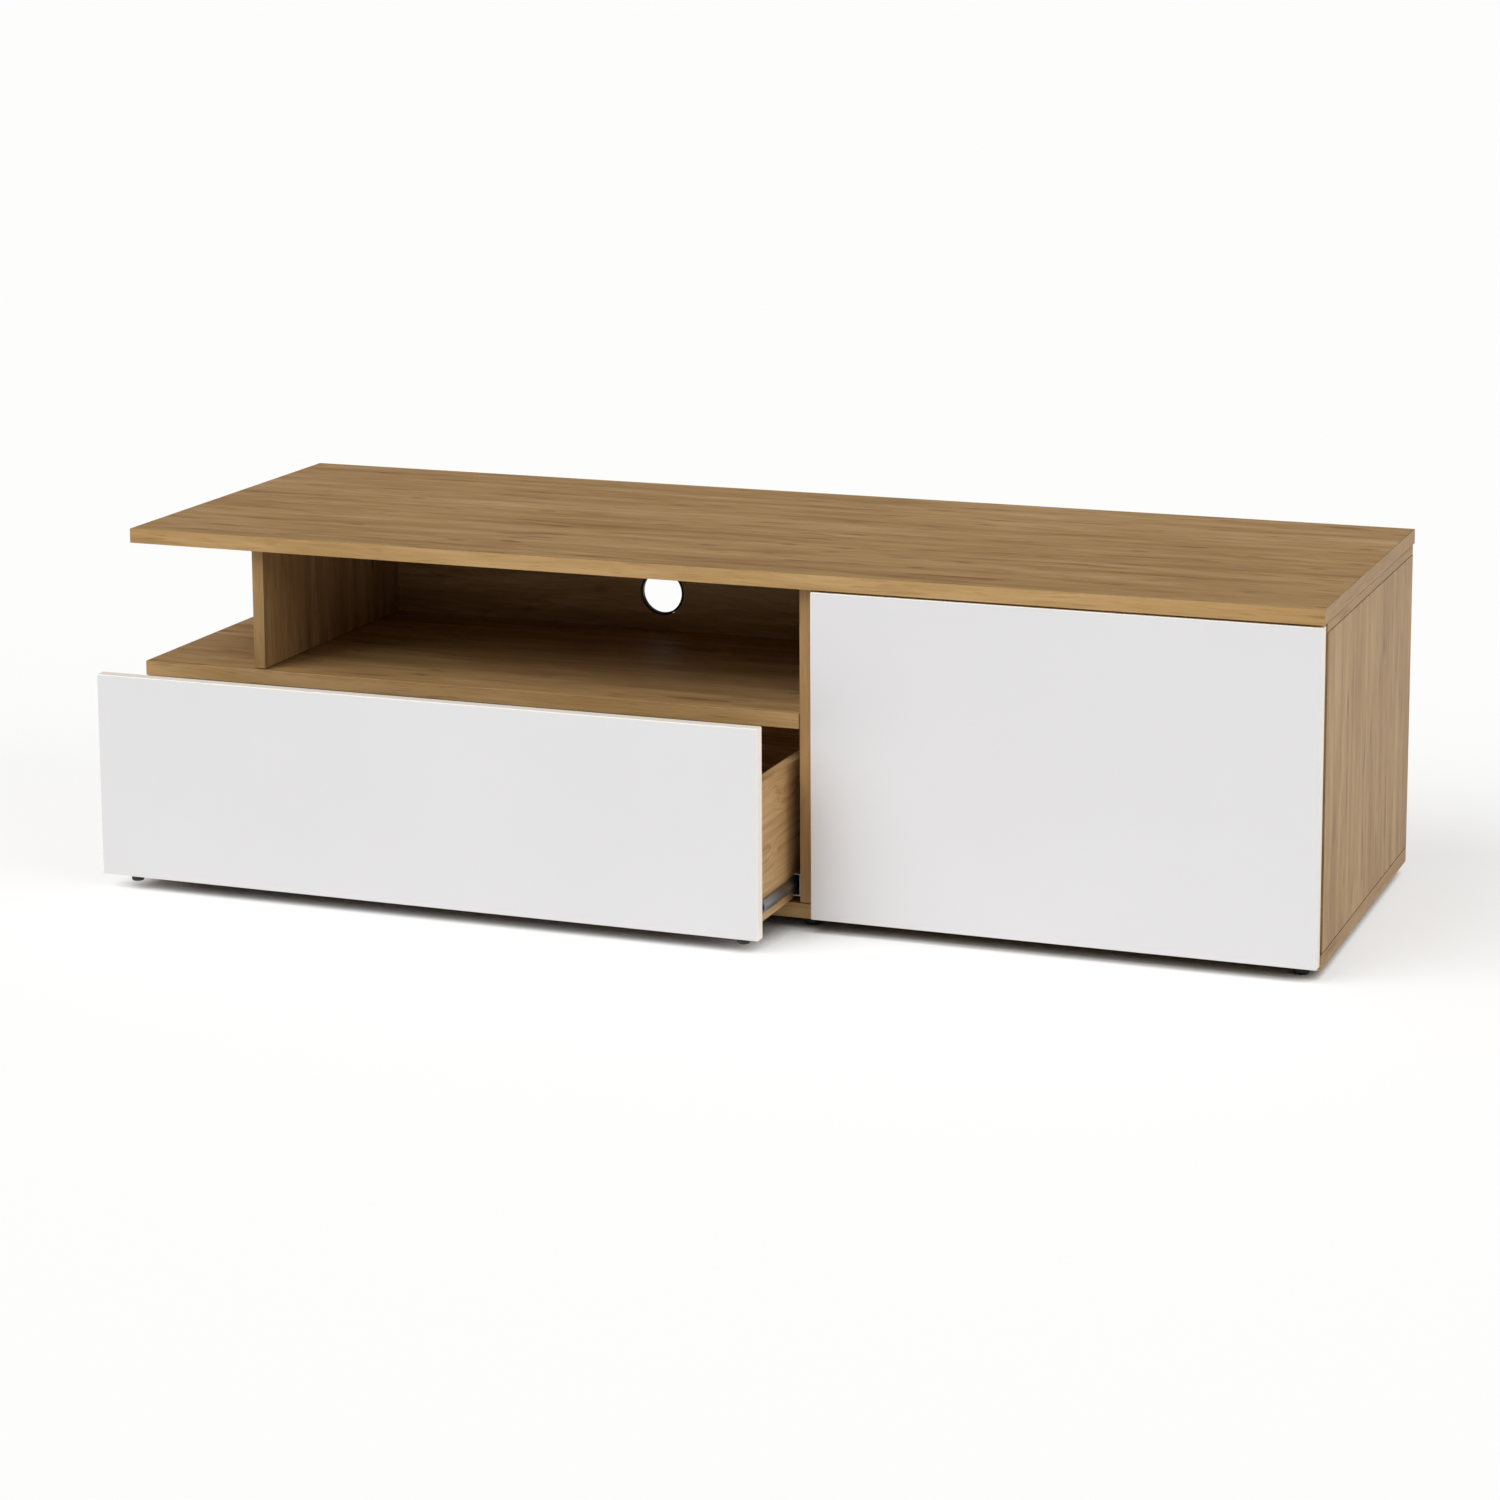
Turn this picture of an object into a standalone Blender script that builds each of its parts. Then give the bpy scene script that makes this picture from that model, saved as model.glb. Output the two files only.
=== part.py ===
"""Low TV stand with an open niche, a wide drawer below it and a door on the right.

Metres, +Z up, the front faces -Y and the floor is z = 0. Boards are placed on three
running measures: x from the left end of the top board, y from the front edge of the
carcass towards the rear, z from the floor. at() turns them into world coordinates,
whose origin is the middle of the whole stand's base with the drawer at rest.
"""

import math

import bmesh
import bpy
from mathutils import Matrix, Vector

# Driving dimensions of the carcass
TOP_WIDTH = 1.500
TOP_DEPTH = 0.5165
BOARD = 0.018  # top, fixed shelf and bottom
WALL = 0.015  # upright boards
TOTAL_HEIGHT = 0.430
FOOT_HEIGHT = 0.012
CARCASS_DEPTH = 0.488
SHELF_TOP = 0.259
SUB_TOP = 0.011
LEFT_INSET = 0.0065  # the top board oversails the drawer bay by this much
UPRIGHT_X = 0.1567
UPRIGHT_SETBACK = 0.0047
PARTITION_X = 0.8765
WALL_SETBACK = 0.003
NICHE_DEPTH = 0.380
NICHE_SHEET = 0.006
BACK_SHEET = 0.003
CABLE_HOLE_X = 0.550
CABLE_HOLE_ABOVE_SHELF = 0.0505
CABLE_HOLE_R = 0.030
GROMMET_BORE_R = 0.027

# Driving dimensions of the fronts and the drawer
FRONT = 0.016
FRONT_GAP = 0.0025
FRONT_ROUND = 0.0022
DOOR_X = (0.8962, 1.4986)
DOOR_Z = (0.017, 0.4095)
DRAWER_FRONT_X = (0.0075, 0.869)
DRAWER_FRONT_Z = (0.0165, 0.268)
OPEN_AT_REST = 0.104
SLIDE_GAP = 0.0127
DRAWER_DEPTH = 0.450
DRAWER_Z = (0.032, 0.198)
DRAWER_BOTTOM_Z = 0.040
DRAWER_BOTTOM = 0.005
GROOVE = 0.0055
SLIDE_Z = 0.0515
SLIDE_LENGTH = 0.450
CAGE_LENGTH = 0.120
HINGE_PIVOT = (1.4925, -0.0115)
HINGE_Z = (0.092, 0.334)
CUP_FROM_EDGE = 0.0216
INNER_SHELF_Z = 0.215
STOP_PAD = [(0, 0), (0.0040, 0), (0.0034, 0.0014), (0, 0.0018)]  # (radius, height) of its dome

GAP = 0.0003  # meeting faces stay this far apart
EDGE = 0.0006  # softened arris of an edge-banded board

LEFT_X = LEFT_INSET
PARTITION_RIGHT = PARTITION_X + WALL
CABINET_X = PARTITION_RIGHT + GAP
CABINET_INSIDE = CABINET_X + WALL
BOTTOM_TOP = FOOT_HEIGHT + BOARD
SHELF_BOTTOM = SHELF_TOP - BOARD
TOP_BOTTOM = TOTAL_HEIGHT - BOARD
SUB_TOP_BOTTOM = TOP_BOTTOM - SUB_TOP
DOOR_BACK = -FRONT_GAP
DOOR_FACE = -FRONT_GAP - FRONT
DRAWER_BACK_FACE = DOOR_BACK - OPEN_AT_REST
DRAWER_FACE = DOOR_FACE - OPEN_AT_REST
MIDDLE_Y = (DRAWER_FACE + DOOR_FACE + TOP_DEPTH) / 2


def at(x, y, z):
    """World place of a point given on the running measures."""
    return Vector((x - TOP_WIDTH / 2, y - MIDDLE_Y, z))


def clear_scene():
    for obj in list(bpy.data.objects):
        bpy.data.objects.remove(obj, do_unlink=True)


def surface(name, colour, roughness, metallic=0.0):
    """A Principled material with one colour, given as linear RGB."""
    material = bpy.data.materials.new(name)
    material.use_nodes = True
    shader = material.node_tree.nodes["Principled BSDF"]
    shader.inputs["Base Color"].default_value = (*colour, 1.0)
    shader.inputs["Roughness"].default_value = roughness
    shader.inputs["Metallic"].default_value = metallic
    return material


FINISHES = {
    "oak": ((0.33, 0.20, 0.10), 0.5, 0.0),
    "white": ((0.80, 0.80, 0.81), 0.4, 0.0),
    "box_wood": ((0.45, 0.29, 0.14), 0.55, 0.0),
    "hardboard": ((0.25, 0.17, 0.10), 0.7, 0.0),
    "zinc": ((0.55, 0.56, 0.58), 0.35, 1.0),
    "nickel": ((0.62, 0.61, 0.58), 0.25, 1.0),
    "black_plastic": ((0.02, 0.02, 0.02), 0.5, 0.0),
    "grey_plastic": ((0.35, 0.35, 0.36), 0.5, 0.0),
    "clear_pad": ((0.75, 0.75, 0.72), 0.3, 0.0),
}


def add_object(name, mesh_data, finish, body=None):
    """Link a finished mesh as one named node, in its own material and under its body's empty."""
    obj = bpy.data.objects.new(name, mesh_data)
    bpy.context.scene.collection.objects.link(obj)
    mesh_data.materials.append(surface(name + "_finish", *FINISHES[finish]))
    if body is not None:
        obj.parent = body
        obj.matrix_parent_inverse = Matrix.Translation(body.location).inverted()
    return obj


def body_empty(name, x, y, z):
    """The parent of a moving body, on its joint's axis."""
    empty = bpy.data.objects.new(name, None)
    empty.location = at(x, y, z)
    bpy.context.scene.collection.objects.link(empty)
    return empty


def box_mesh(name, xs, ys, zs):
    """A box between two corners, with its own origin at its middle, and that middle."""
    low, high = at(xs[0], ys[0], zs[0]), at(xs[1], ys[1], zs[1])
    mesh_data = bpy.data.meshes.new(name)
    shape = bmesh.new()
    bmesh.ops.create_cube(shape, size=1.0)
    bmesh.ops.scale(shape, vec=high - low, verts=shape.verts)
    shape.to_mesh(mesh_data)
    shape.free()
    return mesh_data, (low + high) / 2


def board(name, xs, ys, zs, finish="oak", edge=EDGE, segments=1, body=None):
    """A flat board with softened arrises."""
    mesh_data, middle = box_mesh(name, xs, ys, zs)
    obj = add_object(name, mesh_data, finish, body)
    obj.location = middle
    bevel = obj.modifiers.new("Arris", "BEVEL")
    bevel.width = edge
    bevel.segments = segments
    return obj


def smooth(mesh_data):
    mesh_data.shade_smooth()
    mesh_data.set_sharp_from_angle(angle=math.radians(40))


def turned_mesh(name, profile, sides, axis):
    """A solid turned about its own z axis from (radius, height) pairs, laid along the axis."""
    mesh_data = bpy.data.meshes.new(name)
    shape = bmesh.new()
    verts = [shape.verts.new((radius, 0.0, height)) for radius, height in profile]
    edges = [shape.edges.new(pair) for pair in zip(verts, verts[1:] + verts[:1])]
    bmesh.ops.spin(
        shape, geom=verts + edges, cent=(0, 0, 0), axis=(0, 0, 1),
        angle=math.tau, steps=sides, use_merge=True, use_duplicate=False,
    )
    bmesh.ops.remove_doubles(shape, verts=shape.verts, dist=1e-6)
    bmesh.ops.dissolve_degenerate(shape, edges=shape.edges, dist=1e-6)
    bmesh.ops.recalc_face_normals(shape, faces=shape.faces)
    turn = Vector((0, 0, 1)).rotation_difference(Vector(axis)).to_matrix()
    bmesh.ops.rotate(shape, matrix=turn, verts=shape.verts)
    shape.to_mesh(mesh_data)
    shape.free()
    smooth(mesh_data)
    return mesh_data


def turned(name, profile, place, finish, sides=24, axis=(0, 0, 1), body=None):
    """A turned piece standing at a place on the running measures."""
    obj = add_object(name, turned_mesh(name, profile, sides, axis), finish, body)
    obj.location = at(*place)
    return obj


def extruded(name, outline, start, length, across, finish, body=None):
    """A section swept straight: outline holds (u, v) offsets from the start point.

    across "y" sweeps an x-z section along y, and "z" sweeps an x-y section along z.
    """
    mesh_data = bpy.data.meshes.new(name)
    shape = bmesh.new()
    if across == "y":
        verts = [shape.verts.new((u, 0.0, v)) for u, v in outline]
        sweep = Vector((0, length, 0))
    else:
        verts = [shape.verts.new((u, v, 0.0)) for u, v in outline]
        sweep = Vector((0, 0, length))
    face = shape.faces.new(verts)
    grown = bmesh.ops.extrude_face_region(shape, geom=[face])["geom"]
    moved = [part for part in grown if isinstance(part, bmesh.types.BMVert)]
    bmesh.ops.translate(shape, vec=sweep, verts=moved)
    bmesh.ops.recalc_face_normals(shape, faces=shape.faces)
    shape.to_mesh(mesh_data)
    shape.free()
    obj = add_object(name, mesh_data, finish, body)
    obj.location = at(*start)
    return obj


def cut(obj, cutter):
    """Take a hidden cutter out of a board."""
    cutter.hide_render = True
    cutter.display_type = "WIRE"
    boolean = obj.modifiers.new("Cut " + cutter.name, "BOOLEAN")
    boolean.operation = "DIFFERENCE"
    boolean.solver = "EXACT"
    boolean.object = cutter


def round_cutter(name, place, radius, length, axis, sides=24):
    """A cylinder from the place onwards along the axis."""
    profile = [(0, 0), (radius, 0), (radius, length), (0, length)]
    obj = bpy.data.objects.new(name, turned_mesh(name, profile, sides, axis))
    bpy.context.scene.collection.objects.link(obj)
    obj.location = at(*place)
    return obj


def box_cutter(name, xs, ys, zs):
    mesh_data, middle = box_mesh(name, xs, ys, zs)
    obj = bpy.data.objects.new(name, mesh_data)
    bpy.context.scene.collection.objects.link(obj)
    obj.location = middle
    return obj


def carcass():
    """Boards of the stand: bottom, walls, fixed shelf, niche and top."""
    deep = (0.0, CARCASS_DEPTH)
    set_back = (WALL_SETBACK, CARCASS_DEPTH)
    board("bottom_panel", (LEFT_X, TOP_WIDTH), deep, (FOOT_HEIGHT, BOTTOM_TOP))
    bay = (BOTTOM_TOP + GAP, SHELF_BOTTOM - GAP)
    board("left_side_panel", (LEFT_X, LEFT_X + WALL), set_back, bay)
    partition_z = (BOTTOM_TOP + GAP, TOP_BOTTOM - GAP)
    board("partition", (PARTITION_X, PARTITION_RIGHT), deep, partition_z)
    board("fixed_shelf", (LEFT_X, PARTITION_X - GAP), deep, (SHELF_BOTTOM, SHELF_TOP))
    upright_y = (UPRIGHT_SETBACK, CARCASS_DEPTH)
    niche_z = (SHELF_TOP + GAP, TOP_BOTTOM - GAP)
    board("niche_upright", (UPRIGHT_X, UPRIGHT_X + WALL), upright_y, niche_z)
    sub_top_z = (SUB_TOP_BOTTOM, TOP_BOTTOM - GAP)
    board("sub_top_board", (CABINET_X, TOP_WIDTH), deep, sub_top_z)
    top_y = (DOOR_FACE, DOOR_FACE + TOP_DEPTH)
    board("top_board", (0.0, TOP_WIDTH), top_y, (TOP_BOTTOM, TOTAL_HEIGHT))


def cabinet_walls():
    """The two walls of the door compartment, drilled for the shelf pins, and its loose shelf."""
    wall_y = (WALL_SETBACK, CARCASS_DEPTH)
    wall_z = (BOTTOM_TOP + GAP, SUB_TOP_BOTTOM - GAP)
    left = board("cabinet_left_wall", (CABINET_X, CABINET_INSIDE), wall_y, wall_z)
    right_inside = TOP_WIDTH - WALL
    right = board("right_side_panel", (right_inside, TOP_WIDTH), wall_y, wall_z)
    shelf_x = (CABINET_INSIDE + 0.001, right_inside - 0.001)
    shelf_y = (0.025, 0.470)
    board("inner_shelf", shelf_x, shelf_y, (INNER_SHELF_Z, INNER_SHELF_Z + 0.016))

    pin_r, hole_depth, pin_reach = 0.0025, 0.009, 0.009
    collar_r = pin_r * 1.4
    pin_z = INNER_SHELF_Z - GAP - collar_r
    pin_profile = [
        (0, -hole_depth + GAP), (pin_r, -hole_depth + GAP), (pin_r, -GAP / 2), (collar_r, GAP),
        (collar_r, 0.0012), (pin_r, 0.0012), (pin_r, pin_reach), (0, pin_reach),
    ]
    for wall, face, inward, side in ((left, CABINET_INSIDE, 1, "left"), (right, right_inside, -1, "right")):
        for y, end in ((0.060, "front"), (0.430, "rear")):
            drill = (face - inward * hole_depth, y, pin_z)
            cutter = round_cutter(
                f"drill_{side}_{end}", drill, pin_r + GAP, hole_depth + 0.002, (inward, 0, 0), 12
            )
            cut(wall, cutter)
            turned(
                f"shelf_pin_{side}_{end}", pin_profile, (face, y, pin_z), "nickel",
                sides=12, axis=(inward, 0, 0),
            )


def niche_back():
    """Thin back of the niche with its cable hole, and the ring that lines the hole."""
    niche_x = (UPRIGHT_X + WALL + GAP, PARTITION_X - GAP)
    niche_y = (NICHE_DEPTH, NICHE_DEPTH + NICHE_SHEET)
    panel = board("niche_back", niche_x, niche_y, (SHELF_TOP + GAP, TOP_BOTTOM - GAP))
    hole_z = SHELF_TOP + CABLE_HOLE_ABOVE_SHELF
    start = (CABLE_HOLE_X, NICHE_DEPTH - 0.005, hole_z)
    cut(panel, round_cutter("cable_hole", start, CABLE_HOLE_R, NICHE_SHEET + 0.010, (0, 1, 0), 48))
    outside, bore, proud = CABLE_HOLE_R - GAP, GROMMET_BORE_R, 0.0008
    rear = NICHE_SHEET + proud
    ring = [(bore, -proud), (outside, -proud), (outside, rear), (bore, rear)]
    turned("cable_grommet", ring, (CABLE_HOLE_X, NICHE_DEPTH, hole_z), "black_plastic", 48, (0, 1, 0))


def back_sheets():
    """Thin sheets pinned over the rear of the drawer bay and of the door compartment."""
    sheet_y = (CARCASS_DEPTH + GAP, CARCASS_DEPTH + GAP + BACK_SHEET)
    middle = PARTITION_RIGHT + GAP / 2
    low = FOOT_HEIGHT + 0.002
    spans = (
        ("drawer_bay_back", (LEFT_X + 0.001, middle - GAP), (low, SHELF_TOP - 0.002)),
        ("cabinet_back", (middle + GAP, TOP_WIDTH - 0.001), (low, SUB_TOP_BOTTOM + 0.004)),
    )
    for name, xs, zs in spans:
        board(name, xs, sheet_y, zs, "hardboard", edge=0.0003)


def feet():
    """Nailed plastic glides under the bottom panel, in three pairs."""
    radius, height = 0.010, FOOT_HEIGHT - GAP
    profile = [(0, 0), (radius - 0.002, 0), (radius, 0.002), (radius, height), (0, height)]
    columns = (("left", LEFT_X + 0.028), ("middle", 0.884), ("right", TOP_WIDTH - 0.028))
    rows = (("front", 0.023), ("rear", 0.465))
    for column, x in columns:
        for row, y in rows:
            turned(f"foot_{column}_{row}", profile, (x, y, 0.0), "black_plastic")


def slide_sections():
    """Cross-sections of the slide's three members, as (out from the drawer side, height)."""
    rail = [
        (0, -0.008), (0.0032, -0.008), (0.0062, -0.0015), (0.0062, 0.0015), (0.0032, 0.008), (0, 0.008),
        (0, 0.0068), (0.0026, 0.0068), (0.0050, 0.0011), (0.0050, -0.0011), (0.0026, -0.0068),
        (0, -0.0068),
    ]
    channel_out, channel_in = SLIDE_GAP - 2 * GAP, SLIDE_GAP - 2 * GAP - 0.0012
    high, flange = 0.0135, 0.0123
    channel = [
        (channel_out, -high), (channel_out, high), (0.0022, high), (0.0022, flange),
        (channel_in, flange), (channel_in, -flange), (0.0022, -flange), (0.0022, -high),
    ]
    cage_out, cage_in = 0.0092, 0.0080
    cage = [
        (cage_out, -0.0112), (cage_out, 0.0112), (0.0030, 0.0112), (0.0030, 0.0100),
        (cage_in, 0.0100), (cage_in, -0.0100), (0.0030, -0.0100), (0.0030, -0.0112),
    ]
    return rail, channel, cage


def slides(drawer, cages):
    """Two-member ball slides: a channel on the carcass, a rail on the drawer, a cage between."""
    rail, channel, cage = slide_sections()
    slide_front = 0.002
    rail_y = slide_front - OPEN_AT_REST
    travel = SLIDE_LENGTH - CAGE_LENGTH
    cage_y = slide_front + travel / 2 - OPEN_AT_REST / 2
    faces = (
        ("left", LEFT_X + WALL + SLIDE_GAP - GAP, -1),
        ("right", PARTITION_X - SLIDE_GAP + GAP, 1),
    )
    for side, x, outward in faces:
        sections = [[(u * outward, v) for u, v in points] for points in (rail, channel, cage)]
        extruded(
            f"slide_rail_{side}", sections[0], (x, rail_y, SLIDE_Z), SLIDE_LENGTH, "y", "zinc", drawer
        )
        extruded(
            f"slide_channel_{side}", sections[1], (x, slide_front, SLIDE_Z), SLIDE_LENGTH, "y", "zinc"
        )
        extruded(
            f"slide_ball_cage_{side}", sections[2], (x, cage_y, SLIDE_Z), CAGE_LENGTH, "y",
            "grey_plastic", cages[side],
        )


def drawer_box(drawer):
    """Four walls and a grooved-in bottom, screwed to the white front from inside."""
    left = LEFT_X + WALL + SLIDE_GAP
    right = PARTITION_X - SLIDE_GAP
    front, rear = DRAWER_BACK_FACE + GAP, DRAWER_BACK_FACE + GAP + DRAWER_DEPTH
    walls = {}
    for side, xs in (("left", (left, left + WALL)), ("right", (right - WALL, right))):
        walls[side] = board(f"drawer_side_{side}", xs, (front, rear), DRAWER_Z, "box_wood", body=drawer)
    between = (left + WALL + GAP, right - WALL - GAP)
    inner_front_y = (front, front + WALL)
    inner = board("drawer_inner_front", between, inner_front_y, DRAWER_Z, "box_wood", body=drawer)
    sheet_z = (DRAWER_BOTTOM_Z, DRAWER_BOTTOM_Z + DRAWER_BOTTOM)
    back_z = (sheet_z[1] + GAP, DRAWER_Z[1])
    board("drawer_back", between, (rear - WALL, rear), back_z, "box_wood", body=drawer)

    sheet_x = (left + WALL - GROOVE + GAP, right - WALL + GROOVE - GAP)
    sheet_y = (inner_front_y[1] + GAP, rear - 0.001)
    board("drawer_bottom", sheet_x, sheet_y, sheet_z, "hardboard", edge=0.0003, body=drawer)
    groove_z = (sheet_z[0] - GAP, sheet_z[1] + GAP)
    groove_y = (front - 0.01, rear + 0.01)
    for side, xs in (
        ("left", (left + WALL - GROOVE, left + WALL + 0.005)),
        ("right", (right - WALL - 0.005, right - WALL + GROOVE)),
    ):
        cut(walls[side], box_cutter(f"groove_{side}", xs, groove_y, groove_z))
    return inner, inner_front_y


def drawer_front(drawer, inner, inner_front_y):
    """The white front with its screws, its stop pads and the two pads under its lower edge."""
    front_y = (DRAWER_FACE, DRAWER_BACK_FACE)
    panel = board(
        "drawer_front", DRAWER_FRONT_X, front_y, DRAWER_FRONT_Z, "white", FRONT_ROUND, 3, drawer
    )
    shank_r, head_r, into_front = 0.002, 0.004, 0.010
    head_seat = inner_front_y[1] + GAP
    screw = [
        (0, -into_front - WALL), (shank_r, 0.003 - into_front - WALL), (shank_r, 0),
        (head_r, 0), (head_r * 0.8, 0.0022), (0, 0.0028),
    ]
    for number, (x, z) in enumerate(((0.150, 0.075), (0.150, 0.160), (0.720, 0.075), (0.720, 0.160)), 1):
        start = (x, DRAWER_BACK_FACE - into_front - 0.001, z)
        hole = round_cutter(f"screw_hole_{number}", start, shank_r + GAP, 0.040, (0, 1, 0), 12)
        cut(panel, hole)
        cut(inner, hole)
        turned(
            f"drawer_front_screw_{number}", screw, (x, head_seat, z), "zinc",
            sides=12, axis=(0, 1, 0), body=drawer,
        )

    for side, x in (("left", DRAWER_FRONT_X[0] + 0.008), ("right", DRAWER_FRONT_X[1] - 0.009)):
        place = (x, DRAWER_BACK_FACE + GAP, SHELF_TOP - BOARD / 2)
        turned(f"drawer_stop_pad_{side}", STOP_PAD, place, "clear_pad", 16, (0, 1, 0), drawer)

    foot_r, foot_h = 0.0078, 0.0055
    foot = [(0, -foot_h), (foot_r - 0.001, -foot_h), (foot_r, 0.001 - foot_h), (foot_r, -GAP), (0, -GAP)]
    for side, x in (("left", 0.052), ("right", 0.8485)):
        place = (x, DRAWER_FACE + FRONT / 2, DRAWER_FRONT_Z[0])
        turned(f"drawer_front_glide_{side}", foot, place, "black_plastic", body=drawer)


def door(door_body):
    """The white door, bored for two hinge cups, with stop pads on its free edge."""
    panel = board(
        "door_panel", DOOR_X, (DOOR_FACE, DOOR_BACK), DOOR_Z, "white", FRONT_ROUND, 3, door_body
    )
    cup_x, bore_depth, cup_r, lip = DOOR_X[1] - CUP_FROM_EDGE, 0.0118, 0.0175, 0.019
    cup_out, wall = cup_r - GAP, 0.0014
    floor = -bore_depth + GAP
    cup = [
        (0, floor), (cup_out, floor), (cup_out, GAP), (lip, GAP), (lip, 0.0013), (cup_out - wall, 0.0013),
        (cup_out - wall, floor + wall), (0, floor + wall),
    ]
    for level, z in zip(("lower", "upper"), HINGE_Z):
        bottom = (cup_x, DOOR_BACK - bore_depth, z)
        cut(panel, round_cutter(f"cup_bore_{level}", bottom, cup_r, bore_depth + 0.01, (0, 1, 0), 40))
        turned(f"hinge_cup_{level}", cup, (cup_x, DOOR_BACK, z), "nickel", 40, (0, 1, 0), door_body)
    pad_inset = 0.0055
    for level, z in (("lower", DOOR_Z[0] + pad_inset), ("upper", DOOR_Z[1] - pad_inset)):
        place = (DOOR_X[0] + pad_inset, DOOR_BACK + GAP, z)
        turned(f"door_stop_pad_{level}", STOP_PAD, place, "clear_pad", 16, (0, 1, 0), door_body)


def hinge_arms():
    """Cranked arms that reach from the plates on the right wall into the door's cups."""
    near, far, steps = 0.0115, 0.0140, 4
    angles = [math.radians(168 - 30 * step / steps) for step in range(steps + 1)]
    inner = [(near * math.cos(angle), near * math.sin(angle)) for angle in angles]
    outer = [(far * math.cos(angle), far * math.sin(angle)) for angle in reversed(angles)]
    plate_face = TOP_WIDTH - WALL - GAP - HINGE_PIVOT[0]
    plate = 0.003
    arm_face = plate_face - plate - GAP
    arm_end = 0.066
    straight = [
        (inner[-1][0], 0.0165), (arm_face, 0.0215), (arm_face, arm_end),
        (arm_face - 0.0055, arm_end), (arm_face - 0.0055, 0.0195), (-0.0125, 0.0140),
    ]
    arm_width = 0.011
    plate_outline = [
        (plate_face, 0.028), (plate_face, arm_end + 0.006),
        (plate_face - plate, arm_end + 0.006), (plate_face - plate, 0.028),
    ]
    plate_width = 0.044
    for level, z in zip(("lower", "upper"), HINGE_Z):
        start = (HINGE_PIVOT[0], HINGE_PIVOT[1], z - arm_width / 2)
        extruded(f"hinge_arm_{level}", inner + straight + outer, start, arm_width, "z", "nickel")
        start = (HINGE_PIVOT[0], HINGE_PIVOT[1], z - plate_width / 2)
        extruded(f"hinge_plate_{level}", plate_outline, start, plate_width, "z", "nickel")


def push_latches(door_plunger, drawer_plunger):
    """Push-to-open latches: a housing under the board above, and a sprung plunger."""
    bore_r, plunger_r, front, length = 0.0045, 0.004, 0.0010, 0.060
    plunger = [
        (0, -0.0020), (plunger_r - 0.001, -0.0020), (plunger_r, -0.0010), (plunger_r, 0.016), (0, 0.016),
    ]
    places = (
        ("door", 0.930, SUB_TOP_BOTTOM, door_plunger),
        ("drawer", 0.450, SHELF_BOTTOM, drawer_plunger),
    )
    for name, x, under, body in places:
        zs = (under - 0.0145, under - GAP)
        z = (zs[0] + zs[1]) / 2
        housing = board(
            f"{name}_latch_housing", (x - 0.0085, x + 0.0085), (front, front + length), zs,
            "grey_plastic", edge=0.0015,
        )
        bore = round_cutter(f"{name}_latch_bore", (x, front - 0.005, z), bore_r, 0.031, (0, 1, 0), 20)
        cut(housing, bore)
        turned(f"{name}_latch_plunger", plunger, (x, 0.0, z), "grey_plastic", 20, (0, 1, 0), body)


def build():
    clear_scene()
    carcass()
    cabinet_walls()
    niche_back()
    back_sheets()
    feet()
    drawer = body_empty("drawer_axis", PARTITION_X / 2, DRAWER_BACK_FACE, SLIDE_Z)
    cages = {
        "left": body_empty("left_cage_axis", LEFT_X + WALL, 0.1, SLIDE_Z),
        "right": body_empty("right_cage_axis", PARTITION_X, 0.1, SLIDE_Z),
    }
    slides(drawer, cages)
    drawer_front(drawer, *drawer_box(drawer))
    door(body_empty("door_axis", *HINGE_PIVOT, DOOR_Z[0]))
    hinge_arms()
    latches = [
        body_empty("door_plunger_axis", 0.930, 0.0, SUB_TOP_BOTTOM - 0.0074),
        body_empty("drawer_plunger_axis", 0.450, 0.0, SHELF_BOTTOM - 0.0074),
    ]
    push_latches(*latches)


build()
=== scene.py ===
import math

import bmesh
import bpy
from mathutils import Matrix, Vector


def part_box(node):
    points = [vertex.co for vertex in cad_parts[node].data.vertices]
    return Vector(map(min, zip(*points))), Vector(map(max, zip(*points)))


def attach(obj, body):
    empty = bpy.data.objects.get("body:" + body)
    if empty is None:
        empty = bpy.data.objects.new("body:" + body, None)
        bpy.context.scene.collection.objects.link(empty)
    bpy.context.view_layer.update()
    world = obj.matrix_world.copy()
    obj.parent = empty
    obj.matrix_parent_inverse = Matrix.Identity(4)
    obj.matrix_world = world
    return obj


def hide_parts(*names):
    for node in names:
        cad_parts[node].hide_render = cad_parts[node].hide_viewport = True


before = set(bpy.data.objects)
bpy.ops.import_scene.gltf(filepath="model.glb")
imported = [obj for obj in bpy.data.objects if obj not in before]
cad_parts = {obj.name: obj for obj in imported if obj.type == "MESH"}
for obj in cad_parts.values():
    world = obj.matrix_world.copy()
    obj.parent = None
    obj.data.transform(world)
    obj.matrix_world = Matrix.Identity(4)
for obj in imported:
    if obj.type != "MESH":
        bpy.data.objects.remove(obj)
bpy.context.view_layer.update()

# --- Bottom panel -----------------------------------------------------------
# An 18 mm chipboard faced with oak-decor melamine, its visible edges closed with
# 1 mm ABS bands in the same decor. The walls stand on it, on dowels and cam fittings.

BAND = 0.0010
BAND_ROUND = 0.00025
GLUE_LINE = 0.0001
FACE_ARRIS = 0.0002
OPEN_JOINT = 0.0008

# dark, middle and light tones of the printed paper, and of the bands along the fronts
OAK_PAPER = ("86643D", "AC8A5D", "C6A77C")
OAK_BAND = ("94703F", "B89462", "CFAF80")
OAK_PORE = "6E4E2E"
OAK_KNOT = "5E4227"
CHIP_LIGHT = "CBAC7E"
CHIP_DARK = "9A7748"


def linear(code):
    """An sRGB hex colour as linear RGBA."""
    parts = [int(code[i:i + 2], 16) / 255 for i in (0, 2, 4)]
    return [c / 12.92 if c <= 0.04045 else ((c + 0.055) / 1.055) ** 2.4 for c in parts] + [1.0]


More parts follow.
